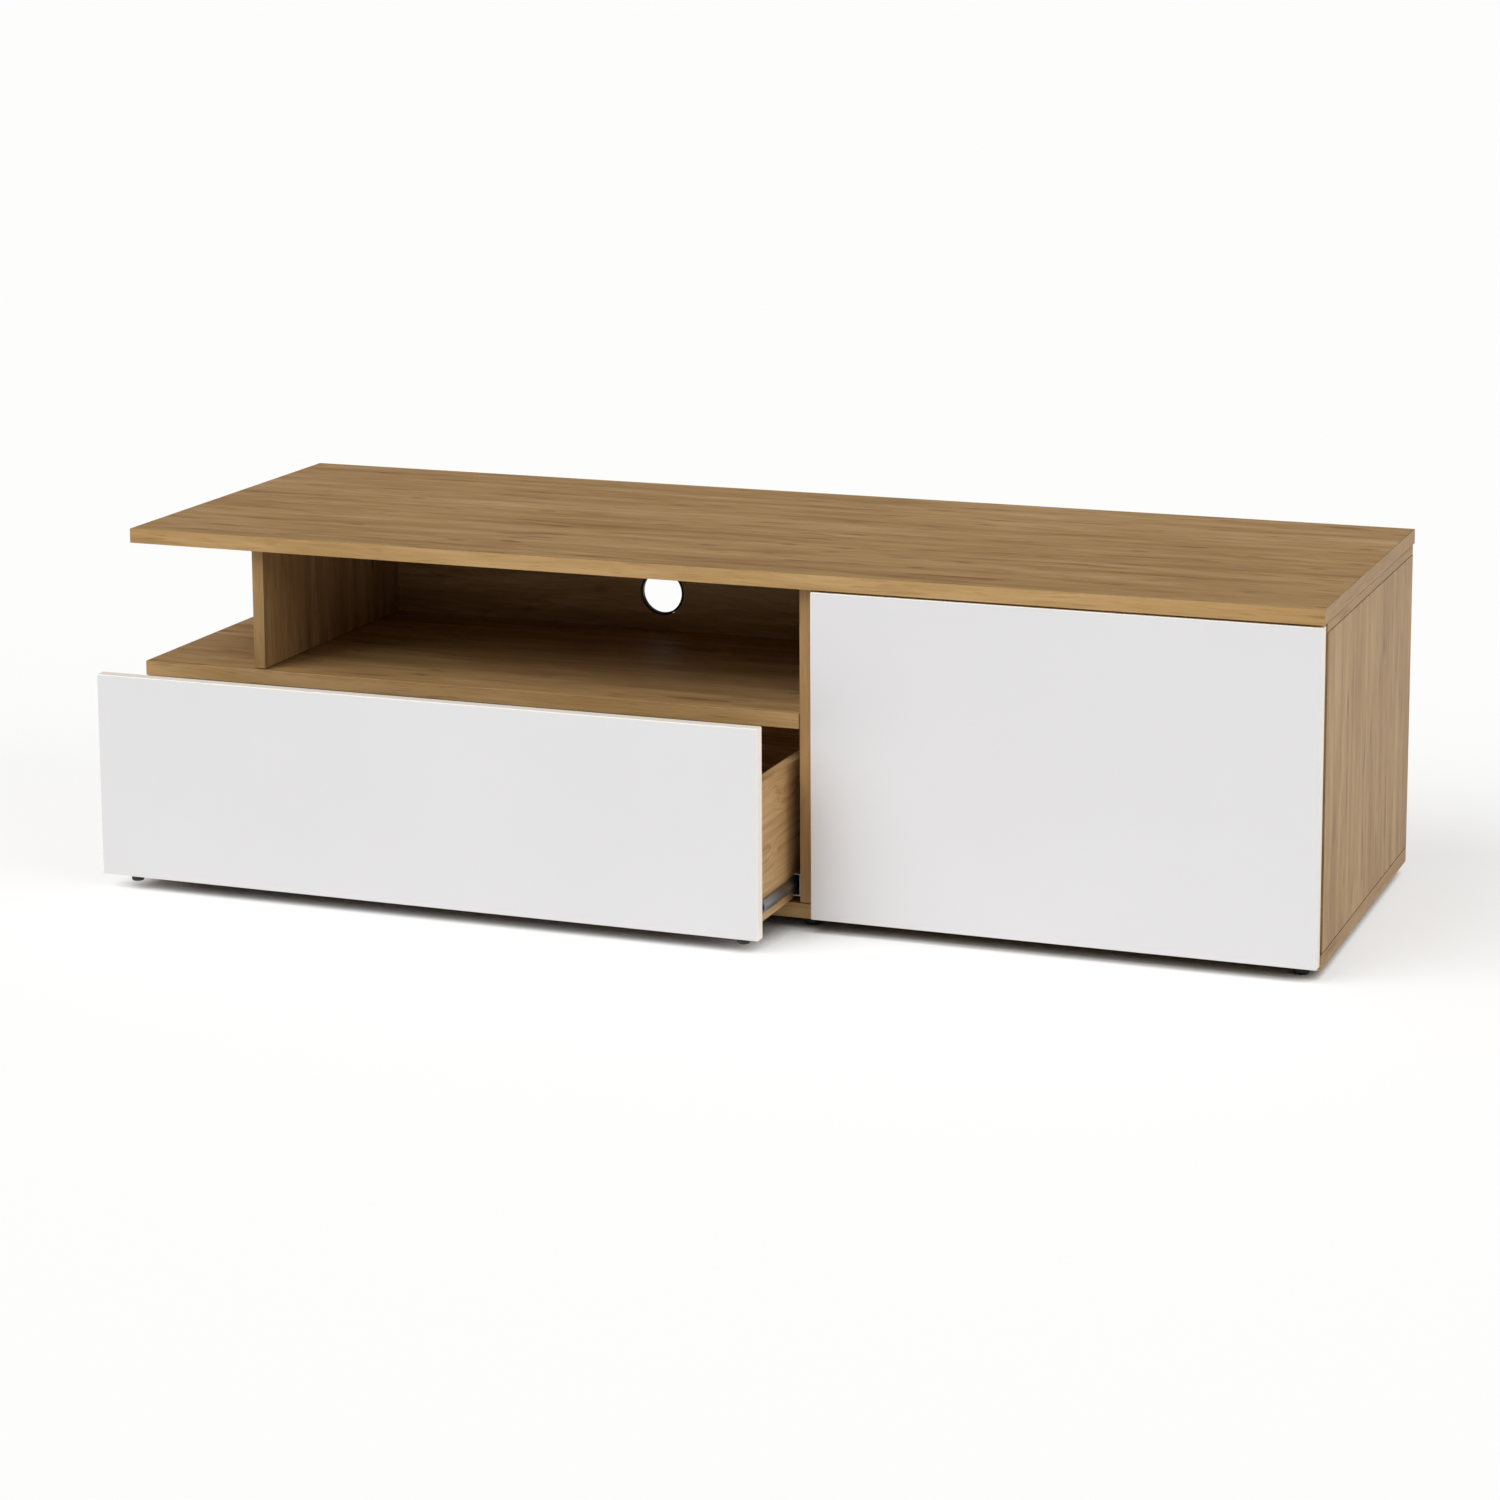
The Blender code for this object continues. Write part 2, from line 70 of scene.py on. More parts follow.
def add_node(tree, kind, inputs=(), stops=(), **settings):
    """One shader node with its settings; an input that is given another node's socket is linked."""
    node = tree.nodes.new("ShaderNode" + kind)
    for key, value in settings.items():
        setattr(node, key, value)
    for key, value in dict(inputs).items():
        if isinstance(value, bpy.types.NodeSocket):
            tree.links.new(value, node.inputs[key])
        else:
            node.inputs[key].default_value = value
    for place, code in stops:
        ends = node.color_ramp.elements
        stop = ends[0] if place == 0 else ends[-1] if place == 1 else ends.new(place)
        stop.color = linear(code)
    return node


def new_finish(name, roughness, metallic=0.0, ior=1.5):
    """A material with its node tree and its Principled shader."""
    material = bpy.data.materials.new(name)
    material.use_nodes = True
    shader = material.node_tree.nodes["Principled BSDF"]
    shader.inputs["Roughness"].default_value = roughness
    shader.inputs["Metallic"].default_value = metallic
    if metallic == 0.0:
        shader.inputs["IOR"].default_value = ior
    return material, material.node_tree, shader


def stretch(grain, along, across):
    """A texture scale that runs slowly along the grain and fast across it, in cycles a metre."""
    return [along if axis == grain else across for axis in "xyz"]


def oak_decor(name, grain, shift, contrast=1.0, tones=OAK_PAPER, flecks=True):
    """Melamine paper printed as oak: satin, with broad planks of tone, streaks, dashes and flecks.

    The streaks are 8 to 18 mm wide and the dark dashes some 60 mm long, as in rift-cut oak. Real
    pores are 0.3 mm, drawn 1.5 mm wide so that they show. Melamine has an IOR of about 1.5.
    """
    material, tree, shader = new_finish(name, 0.42)
    place = add_node(tree, "TexCoord").outputs["Object"]
    moved = add_node(tree, "VectorMath", {0: place, 1: shift}, operation="ADD").outputs[0]

    def along_grain(source, along, across):
        scale = stretch(grain, along, across)
        return add_node(tree, "VectorMath", {0: source, 1: scale}, operation="MULTIPLY").outputs[0]

    def grain_noise(along, across, detail, source):
        inputs = {
            "Vector": along_grain(source, along, across), "Scale": 1.0, "Detail": detail, "Roughness": 0.6,
        }
        return add_node(tree, "TexNoise", inputs)

    def darken(colour, code, field, start, end, share):
        # from the field's start value to its end value the colour goes over to the darker one
        inputs = {"Value": field, "From Min": start, "From Max": end, "To Max": share}
        amount = add_node(tree, "MapRange", inputs).outputs[0]
        return add_node(tree, "Mix", {0: amount, 6: colour, 7: linear(code)}, data_type="RGBA").outputs[2]

    # the grain lines wander by a few millimetres over the length of a board
    wander = grain_noise(2.2, 9.0, 2.0, moved).outputs["Color"]
    centred = add_node(tree, "VectorMath", {0: wander, 1: (0.5, 0.5, 0.5)}, operation="SUBTRACT")
    bent = add_node(tree, "VectorMath", {0: centred.outputs[0], 1: (0.028,) * 3}, operation="MULTIPLY")
    lines = add_node(tree, "VectorMath", {0: moved, 1: bent.outputs[0]}, operation="ADD").outputs[0]

    planks = grain_noise(0.9, 14.0, 1.0, moved).outputs["Fac"]
    streaks = grain_noise(4.2, 52.0, 3.0, lines).outputs["Fac"]
    fibres = grain_noise(13.0, 330.0, 3.0, lines).outputs["Fac"]
    dashes = grain_noise(8.5, 78.0, 2.0, lines).outputs["Fac"]
    pores = grain_noise(26.0, 520.0, 1.0, lines).outputs["Fac"]

    tone = 0.5
    for field, weight in ((planks, 0.6), (streaks, 1.25), (fibres, 0.6)):
        offset = add_node(tree, "Math", {0: field, 1: 0.5}, operation="SUBTRACT").outputs[0]
        weighed = {0: offset, 1: weight * contrast, 2: tone}
        tone = add_node(tree, "Math", weighed, operation="MULTIPLY_ADD").outputs[0]
    stops = tuple(zip((0, 0.5, 1), tones))
    colour = add_node(tree, "ValToRGB", {"Fac": tone}, stops=stops).outputs["Color"]
    colour = darken(colour, OAK_PORE, dashes, 0.59, 0.72, 0.55 * contrast)
    colour = darken(colour, OAK_PORE, pores, 0.60, 0.74, 0.45 * contrast)
    if flecks:
        # pin knots and flecks, some 8 by 25 mm, about a hand's length apart
        cells = {"Vector": along_grain(lines, 8.0, 22.0), "Scale": 1.0}
        near = add_node(tree, "TexVoronoi", cells).outputs["Distance"]
        colour = darken(colour, OAK_KNOT, near, 0.14, 0.03, 0.5)
    tree.links.new(colour, shader.inputs["Base Color"])

    rough = add_node(tree, "MapRange", {"Value": fibres, "To Min": 0.36, "To Max": 0.52}).outputs[0]
    tree.links.new(rough, shader.inputs["Roughness"])
    relief = add_node(tree, "Bump", {"Height": pores, "Strength": 0.12, "Distance": 0.0003}).outputs[0]
    tree.links.new(relief, shader.inputs["Normal"])
    shader.inputs["Specular IOR Level"].default_value = 0.12
    return material


def chipboard_edge():
    """Raw sawn chipboard: pale and dark wood chips, 1 to 4 mm, pressed with resin, quite matt."""
    material, tree, shader = new_finish("raw_chipboard", 0.85)
    place = add_node(tree, "TexCoord").outputs["Object"]
    chips = add_node(tree, "TexVoronoi", {"Vector": place, "Scale": 480.0})
    tint = add_node(tree, "SeparateColor", {0: chips.outputs["Color"]}).outputs[0]
    mixed = {0: tint, 6: linear(CHIP_DARK), 7: linear(CHIP_LIGHT)}
    colour = add_node(tree, "Mix", mixed, data_type="RGBA").outputs[2]
    tree.links.new(colour, shader.inputs["Base Color"])
    relief = add_node(
        tree, "Bump", {"Height": chips.outputs["Distance"], "Strength": 0.5, "Distance": 0.0006}
    )
    tree.links.new(relief.outputs[0], shader.inputs["Normal"])
    return material


def shade_rounds(mesh):
    """Smooth shading on the rounded strips only, so that flat faces stay flat."""
    for face in mesh.polygons:
        face.use_smooth = max(abs(c) for c in face.normal) < 0.9999


def slab_mesh(low, high, rounding, segments):
    """A straight-sided board between two corners, with all its arrises rounded."""
    shape = bmesh.new()
    bmesh.ops.create_cube(shape, size=1.0)
    bmesh.ops.scale(shape, vec=high - low, verts=shape.verts)
    bmesh.ops.translate(shape, vec=(low + high) / 2, verts=shape.verts)
    bmesh.ops.bevel(
        shape, geom=shape.edges[:], offset=rounding, segments=segments, profile=0.5, affect="EDGES"
    )
    mesh = bpy.data.meshes.new("slab")
    shape.to_mesh(mesh)
    shape.free()
    shade_rounds(mesh)
    return mesh


def fit_piece(name, mesh, body, finishes, stands_for=()):
    """Link a finished mesh as one named piece, on its body, with its finishes."""
    piece = bpy.data.objects.new(name, mesh)
    bpy.context.scene.collection.objects.link(piece)
    for finish in finishes:
        mesh.materials.append(finish)
    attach(piece, body)
    if stands_for:
        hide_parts(*stands_for)
    return piece


def oak_board(node, grain, bands, shift, joint=OPEN_JOINT):
    """A faced board cut back by its bands, and one band for each listed edge, such as -y.

    The first band listed runs the full length, and each later one ends against it. A sawn edge
    without a band stands back a little from the board it meets, which leaves a dark joint.
    """
    low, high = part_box(node)
    size = high - low
    thin = min(range(3), key=lambda i: size[i])
    for axis in range(3):
        if axis != thin:
            low[axis] += 0.0 if "-" + "xyz"[axis] in bands else joint
            high[axis] -= 0.0 if "+" + "xyz"[axis] in bands else joint
    face_oak = oak_decor("oak_melamine_" + node, grain, shift)
    for number, edge in enumerate(bands):
        axis = "xyz".index(edge[1])
        band_low = low.copy()
        band_high = high.copy()
        if edge[0] == "-":
            band_high[axis] = low[axis] + BAND
            low[axis] += BAND + GLUE_LINE
        else:
            band_low[axis] = high[axis] - BAND
            high[axis] -= BAND + GLUE_LINE
        size = band_high - band_low
        band_grain = "xyz"[max(range(3), key=lambda i: size[i])]
        band_shift = [c + 1.7 + 0.31 * number for c in shift]
        tones = OAK_BAND if band_grain == "x" else OAK_PAPER
        name = node + "_band_" + {"-x": "left", "+x": "right", "-y": "front", "+y": "rear"}[edge]
        band_oak = oak_decor("oak_abs_" + name, band_grain, band_shift, 0.7, tones, flecks=False)
        mesh = slab_mesh(band_low, band_high, BAND_ROUND, 3)
        fit_piece(name, mesh, "carcass", [band_oak])
    mesh = slab_mesh(low, high, FACE_ARRIS, 1)
    for face in mesh.polygons:
        face.material_index = 0 if abs(face.normal[thin]) > 0.5 else 1
    return fit_piece(node + "_core", mesh, "carcass", [face_oak, raw_edge], [node])


raw_edge = chipboard_edge()
oak_board("bottom_panel", "x", ["-y", "-x", "+x"], (0.3, 1.1, 0.2))

# --- Feet -------------------------------------------------------------------
# Six nailed glides, 20 mm across, moulded in black polypropylene, with a nail
# through the middle. They lift the bottom panel 12 mm off the floor.

BLACK_PLASTIC = "17181A"


def moulded(name, code, roughness, grit, depth):
    """Injection-moulded plastic: even colour and a fine spark-eroded texture, IOR near 1.5.

    Real grit is 0.05 to 0.1 mm, drawn several times coarser so that it shows.
    """
    material, tree, shader = new_finish(name, roughness)
    place = add_node(tree, "TexCoord").outputs["Object"]
    grain = add_node(tree, "TexNoise", {"Vector": place, "Scale": grit, "Detail": 3.0})
    dark = [c * 0.8 for c in linear(code)[:3]] + [1.0]
    mixed = {0: grain.outputs["Fac"], 6: dark, 7: linear(code)}
    colour = add_node(tree, "Mix", mixed, data_type="RGBA").outputs[2]
    tree.links.new(colour, shader.inputs["Base Color"])
    relief = add_node(tree, "Bump", {"Height": grain.outputs["Fac"], "Strength": 0.25, "Distance": depth})
    tree.links.new(relief.outputs[0], shader.inputs["Normal"])
    return material


def soft_corners(corners, segments=4):
    """A closed outline from ((u, v), radius) corners, each eased into its two sides."""
    outline = []
    for i, (corner, radius) in enumerate(corners):
        here = Vector(corner)
        before = Vector(corners[i - 1][0]) - here
        after = Vector(corners[(i + 1) % len(corners)][0]) - here
        if radius == 0:
            outline.append(here)
            continue
        reach = min(radius, before.length * 0.45, after.length * 0.45)
        start = here + before.normalized() * reach
        end = here + after.normalized() * reach
        for step in range(segments + 1):
            t = step / segments
            outline.append(start * (1 - t) ** 2 + here * (2 * t * (1 - t)) + end * t ** 2)
    return outline


def turned_mesh(corners, place, axis=(0, 0, 1), sides=48):
    """A solid turned about the axis through a place, from ((radius, height), easing) corners."""
    shape = bmesh.new()
    verts = [shape.verts.new((max(r, 0.0), 0.0, h)) for r, h in soft_corners(corners)]
    edges = [shape.edges.new(pair) for pair in zip(verts, verts[1:] + verts[:1])]
    bmesh.ops.spin(
        shape, geom=verts + edges, cent=(0, 0, 0), axis=(0, 0, 1),
        angle=math.tau, steps=sides, use_merge=True, use_duplicate=False,
    )
    bmesh.ops.remove_doubles(shape, verts=shape.verts, dist=1e-6)
    bmesh.ops.dissolve_degenerate(shape, edges=shape.edges, dist=1e-6)
    bmesh.ops.recalc_face_normals(shape, faces=shape.faces)
    turn = Vector((0, 0, 1)).rotation_difference(Vector(axis)).to_matrix()
    bmesh.ops.rotate(shape, matrix=turn, verts=shape.verts)
    bmesh.ops.translate(shape, vec=place, verts=shape.verts)
    mesh = bpy.data.meshes.new("turned")
    shape.to_mesh(mesh)
    shape.free()
    mesh.shade_smooth()
    mesh.set_sharp_from_angle(angle=math.radians(35))
    return mesh


def middle_of(node):
    low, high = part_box(node)
    return (low + high) / 2


black_plastic = moulded("black_polypropylene", BLACK_PLASTIC, 0.48, 1400.0, 0.0001)
for column in ("left", "middle", "right"):
    for row in ("front", "rear"):
        node = f"foot_{column}_{row}"
        low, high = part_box(node)
        radius = (high.x - low.x) / 2
        height = high.z - low.z
        corners = [
            ((0, 0.0030), 0), ((0.0032, 0.0030), 0), ((0.0038, 0), 0.0004), ((radius - 0.0014, 0), 0.0012),
            ((radius, 0.0030), 0.0010), ((radius, height), 0.0003), ((0, height), 0),
        ]
        place = Vector(((low.x + high.x) / 2, (low.y + high.y) / 2, low.z))
        mesh = turned_mesh(corners, place)
        fit_piece(node + "_glide", mesh, "carcass", [black_plastic], [node])

# --- Outer side panels and the partition --------------------------------------
# 15 mm uprights of the same faced chipboard with the grain standing. The drawer bay
# has the left side panel and the partition, the cabinet its own two drilled walls.

PIN_PITCH = 0.032
PIN_HOLES_EACH_WAY = 2
PIN_HOLE_R = 0.0028
PIN_HOLE_DEPTH = 0.009


def joined_mesh(meshes):
    """Several meshes as one."""
    shape = bmesh.new()
    for mesh in meshes:
        shape.from_mesh(mesh)
    whole = bpy.data.meshes.new("joined")
    shape.to_mesh(whole)
    shape.free()
    return whole


def cut_away(piece, cutter_mesh):
    """Take a cutter out of a piece for good."""
    cutter = bpy.data.objects.new("cutter", cutter_mesh)
    bpy.context.scene.collection.objects.link(cutter)
    cut = piece.modifiers.new("cut", "BOOLEAN")
    cut.operation = "DIFFERENCE"
    cut.solver = "EXACT"
    cut.object = cutter
    found = piece.evaluated_get(bpy.context.evaluated_depsgraph_get())
    piece.data = bpy.data.meshes.new_from_object(found)
    piece.modifiers.clear()
    bpy.data.objects.remove(cutter)


def round_cutter(start, radius, length, axis, sides=48):
    """A plain round bore from a place along the axis."""
    corners = [((0, 0), 0), ((radius, 0), 0), ((radius, length), 0), ((0, length), 0)]
    return turned_mesh(corners, start, axis, sides)


oak_board("left_side_panel", "z", ["-y"], (0.9, 0.4, 0.7))
oak_board("partition", "z", ["-y"], (0.1, 2.3, 1.4))
cabinet_walls = {
    "left": (oak_board("cabinet_left_wall", "z", ["-y"], (2.2, 0.6, 0.5)), 1),
    "right": (oak_board("right_side_panel", "z", ["-y", "+y"], (1.3, 1.9, 0.1)), -1),
}
for side, (wall, inward) in cabinet_walls.items():
    bores = []
    for end in ("front", "rear"):
        pin = middle_of(f"shelf_pin_{side}_{end}")
        wall_low, wall_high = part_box("cabinet_left_wall" if side == "left" else "right_side_panel")
        face = wall_high.x if side == "left" else wall_low.x
        for step in range(-PIN_HOLES_EACH_WAY, PIN_HOLES_EACH_WAY + 1):
            start = Vector((face - inward * PIN_HOLE_DEPTH, pin.y, pin.z + step * PIN_PITCH))
            bores.append(round_cutter(start, PIN_HOLE_R, PIN_HOLE_DEPTH + 0.002, (inward, 0, 0), 24))
    cut_away(wall, joined_mesh(bores))

# --- Niche: fixed shelf, upright and back --------------------------------------
# The fixed shelf is the niche's floor and runs out to the open left end. An upright
# and a set-back back panel stand on it. A black ring lines the 60 mm cable hole.

oak_board("fixed_shelf", "x", ["-y", "-x"], (1.6, 0.8, 2.1))
oak_board("niche_upright", "z", ["-y", "+y"], (0.5, 1.5, 1.9))
niche_back = oak_board("niche_back", "x", [], (2.7, 0.2, 0.9), joint=0.0)
ring_low, ring_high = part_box("cable_grommet")
ring_place = Vector(((ring_low.x + ring_high.x) / 2, ring_low.y, (ring_low.z + ring_high.z) / 2))
ring_r = (ring_high.x - ring_low.x) / 2
ring_depth = ring_high.y - ring_low.y
hole_r = ring_r + 0.0003
bore_start = ring_place - Vector((0, 0.01, 0))
cut_away(niche_back, round_cutter(bore_start, hole_r, ring_depth + 0.02, (0, 1, 0), 96))
bore_r = ring_r - 0.0027
ring_corners = [
    ((bore_r, 0), 0.0009), ((ring_r, 0), 0.0006),
    ((ring_r, ring_depth), 0.0006), ((bore_r, ring_depth), 0.0009),
]
ring_mesh = turned_mesh(ring_corners, ring_place, (0, 1, 0), 96)
fit_piece("cable_grommet_ring", ring_mesh, "carcass", [black_plastic], ["cable_grommet"])

# --- Sub-top and top board -----------------------------------------------------
# A thin board closes the cabinet, and the 18 mm top lies over everything. The top
# oversails the open end and the fronts, and is banded on all four edges.

oak_board("sub_top_board", "x", ["-y", "+x"], (0.2, 2.9, 0.6))
oak_board("top_board", "x", ["-y", "+x", "-x", "+y"], (0.8, 1.7, 0.3))

# --- Back sheets ---------------------------------------------------------------
# 3 mm hardboard let over the rear edges and pinned every 90 mm or so with small
# steel pins. The rough brown side shows behind, and the inside is printed with oak.

HARDBOARD_LIGHT = "8E6B45"
HARDBOARD_DARK = "6B4C2E"
ZINC = "B4B8BC"
PIN_SPACING = 0.09
PIN_HEAD_R = 0.0016
PIN_INSET = 0.0075


def hardboard_finish():
    """Pressed wood fibre: brown, matt, with 1 to 3 mm fibre bundles and a fine screen texture."""
    material, tree, shader = new_finish("brown_hardboard", 0.78)
    place = add_node(tree, "TexCoord").outputs["Object"]
    clouds = add_node(tree, "TexNoise", {"Vector": place, "Scale": 14.0, "Detail": 2.0}).outputs["Fac"]
    fibre = add_node(tree, "TexNoise", {"Vector": place, "Scale": 420.0, "Detail": 4.0, "Distortion": 1.2})
    mottled = {0: clouds, 1: 0.3, 2: fibre.outputs["Fac"]}
    both = add_node(tree, "Math", mottled, operation="MULTIPLY_ADD").outputs[0]
    share = add_node(tree, "MapRange", {"Value": both, "From Min": 0.45, "From Max": 0.85}).outputs[0]
    mixed = {0: share, 6: linear(HARDBOARD_DARK), 7: linear(HARDBOARD_LIGHT)}
    colour = add_node(tree, "Mix", mixed, data_type="RGBA").outputs[2]
    tree.links.new(colour, shader.inputs["Base Color"])
    relief = add_node(tree, "Bump", {"Height": fibre.outputs["Fac"], "Strength": 0.4, "Distance": 0.0003})
    tree.links.new(relief.outputs[0], shader.inputs["Normal"])
    return material


def plated_steel(name, code, roughness, brushed):
    """Plated steel: metallic, softly bright, with fine drawing lines along its length.

    The lines are 0.1 mm in the real strip and drawn about 0.8 mm apart.
    """
    material, tree, shader = new_finish(name, roughness, metallic=1.0)
    place = add_node(tree, "TexCoord").outputs["Object"]
    scaled = add_node(tree, "VectorMath", {0: place, 1: brushed}, operation="MULTIPLY").outputs[0]
    lines = add_node(tree, "TexNoise", {"Vector": scaled, "Scale": 1.0, "Detail": 3.0}).outputs["Fac"]
    dull = [c * 0.72 for c in linear(code)[:3]] + [1.0]
    mixed = {0: lines, 6: dull, 7: linear(code)}
    colour = add_node(tree, "Mix", mixed, data_type="RGBA").outputs[2]
    tree.links.new(colour, shader.inputs["Base Color"])
    spread = {"Value": lines, "To Min": roughness * 0.75, "To Max": roughness * 1.3}
    tree.links.new(add_node(tree, "MapRange", spread).outputs[0], shader.inputs["Roughness"])
    relief = add_node(tree, "Bump", {"Height": lines, "Strength": 0.08, "Distance": 0.0001}).outputs[0]
    tree.links.new(relief, shader.inputs["Normal"])
    return material


def evenly(start, end, spacing):
    """Places from start to end, no further apart than the spacing."""
    count = max(1, math.ceil((end - start) / spacing))
    return [start + (end - start) * i / count for i in range(count + 1)]


hardboard = hardboard_finish()
zinc_steel = plated_steel("zinc_plated_steel", ZINC, 0.34, (900.0, 60.0, 900.0))
for node in ("drawer_bay_back", "cabinet_back"):
    low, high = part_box(node)
    sheet = slab_mesh(low, high, 0.0004, 2)
    for face in sheet.polygons:
        face.material_index = 1 if face.normal.y < -0.5 else 0
    inside_print = oak_decor("oak_paper_" + node, "x", (0.4, 0.1, 1.1))
    fit_piece(node + "_sheet", sheet, "carcass", [hardboard, inside_print], [node])
    across = evenly(low.x + PIN_INSET, high.x - PIN_INSET, PIN_SPACING)
    upward = evenly(low.z + PIN_INSET, high.z - PIN_INSET, PIN_SPACING)
    spots = [(x, z) for x in across for z in (upward[0], upward[-1])]
    spots += [(x, z) for x in (across[0], across[-1]) for z in upward[1:-1]]
    head = [((0, 0), 0), ((PIN_HEAD_R, 0), 0), ((PIN_HEAD_R, 0.0003), 0.0002), ((0, 0.0007), 0)]
    heads = [turned_mesh(head, Vector((x, high.y, z)), (0, 1, 0), 16) for x, z in spots]
    fit_piece(node + "_pins", joined_mesh(heads), "carcass", [zinc_steel])

# --- Drawer slides -------------------------------------------------------------
# Two-member ball slides, 450 mm long, rolled from zinc-plated strip: a channel
# screwed to the carcass, a rail on the drawer, and a moulded cage of balls between.

GREY_PLASTIC = "8B8E90"
STRIP = 0.0012
RAIL_OUT = 0.0062
RAIL_HALF = 0.0080
BALL_R = 0.0016
BALL_PITCH = 0.0085


def swept_mesh(corners, axis, place, length, segments=4):
    """A rolled or cut section swept straight along x, y or z from a place."""
    order = {"x": ("y", "z"), "y": ("x", "z"), "z": ("x", "y")}[axis]
    verts_at = []
    for u, v in soft_corners(corners, segments):
        point = Vector((0, 0, 0))
        setattr(point, order[0], u)
        setattr(point, order[1], v)
        verts_at.append(point + Vector(place))
    travel = Vector([length if c == axis else 0.0 for c in "xyz"])
    shape = bmesh.new()
    face = shape.faces.new([shape.verts.new(point) for point in verts_at])
    grown = bmesh.ops.extrude_face_region(shape, geom=[face])["geom"]
    bmesh.ops.translate(shape, vec=travel, verts=[g for g in grown if isinstance(g, bmesh.types.BMVert)])
    bmesh.ops.recalc_face_normals(shape, faces=shape.faces)
    mesh = bpy.data.meshes.new("swept")
    shape.to_mesh(mesh)
    shape.free()
    mesh.shade_smooth()
    mesh.set_sharp_from_angle(angle=math.radians(35))
    return mesh


def cross_head(place, axis, radius, height):
    """A pan-head screw's head with a cross recess, standing on a place."""
    corners = [
        ((0, 0), 0), ((radius, 0), 0), ((radius, height * 0.45), radius * 0.25), ((0, height), radius * 0.5),
    ]
    head = bpy.data.objects.new("head", turned_mesh(corners, Vector((0, 0, 0)), sides=32))
    bpy.context.scene.collection.objects.link(head)
    arm = radius * 0.62
    slot = radius * 0.14
    floor = height * 0.35
    bars = [
        slab_mesh(Vector((-arm, -slot, floor)), Vector((arm, slot, height * 2)), slot * 0.3, 1),
        slab_mesh(Vector((-slot, -arm, floor)), Vector((slot, arm, height * 2)), slot * 0.3, 1),
    ]
    for bar in bars:
        cut_away(head, bar)
    mesh = head.data
    bpy.data.objects.remove(head)
    turn = Vector((0, 0, 1)).rotation_difference(Vector(axis)).to_matrix().to_4x4()
    mesh.transform(Matrix.Translation(place) @ turn)
    mesh.set_sharp_from_angle(angle=math.radians(35))
    return mesh


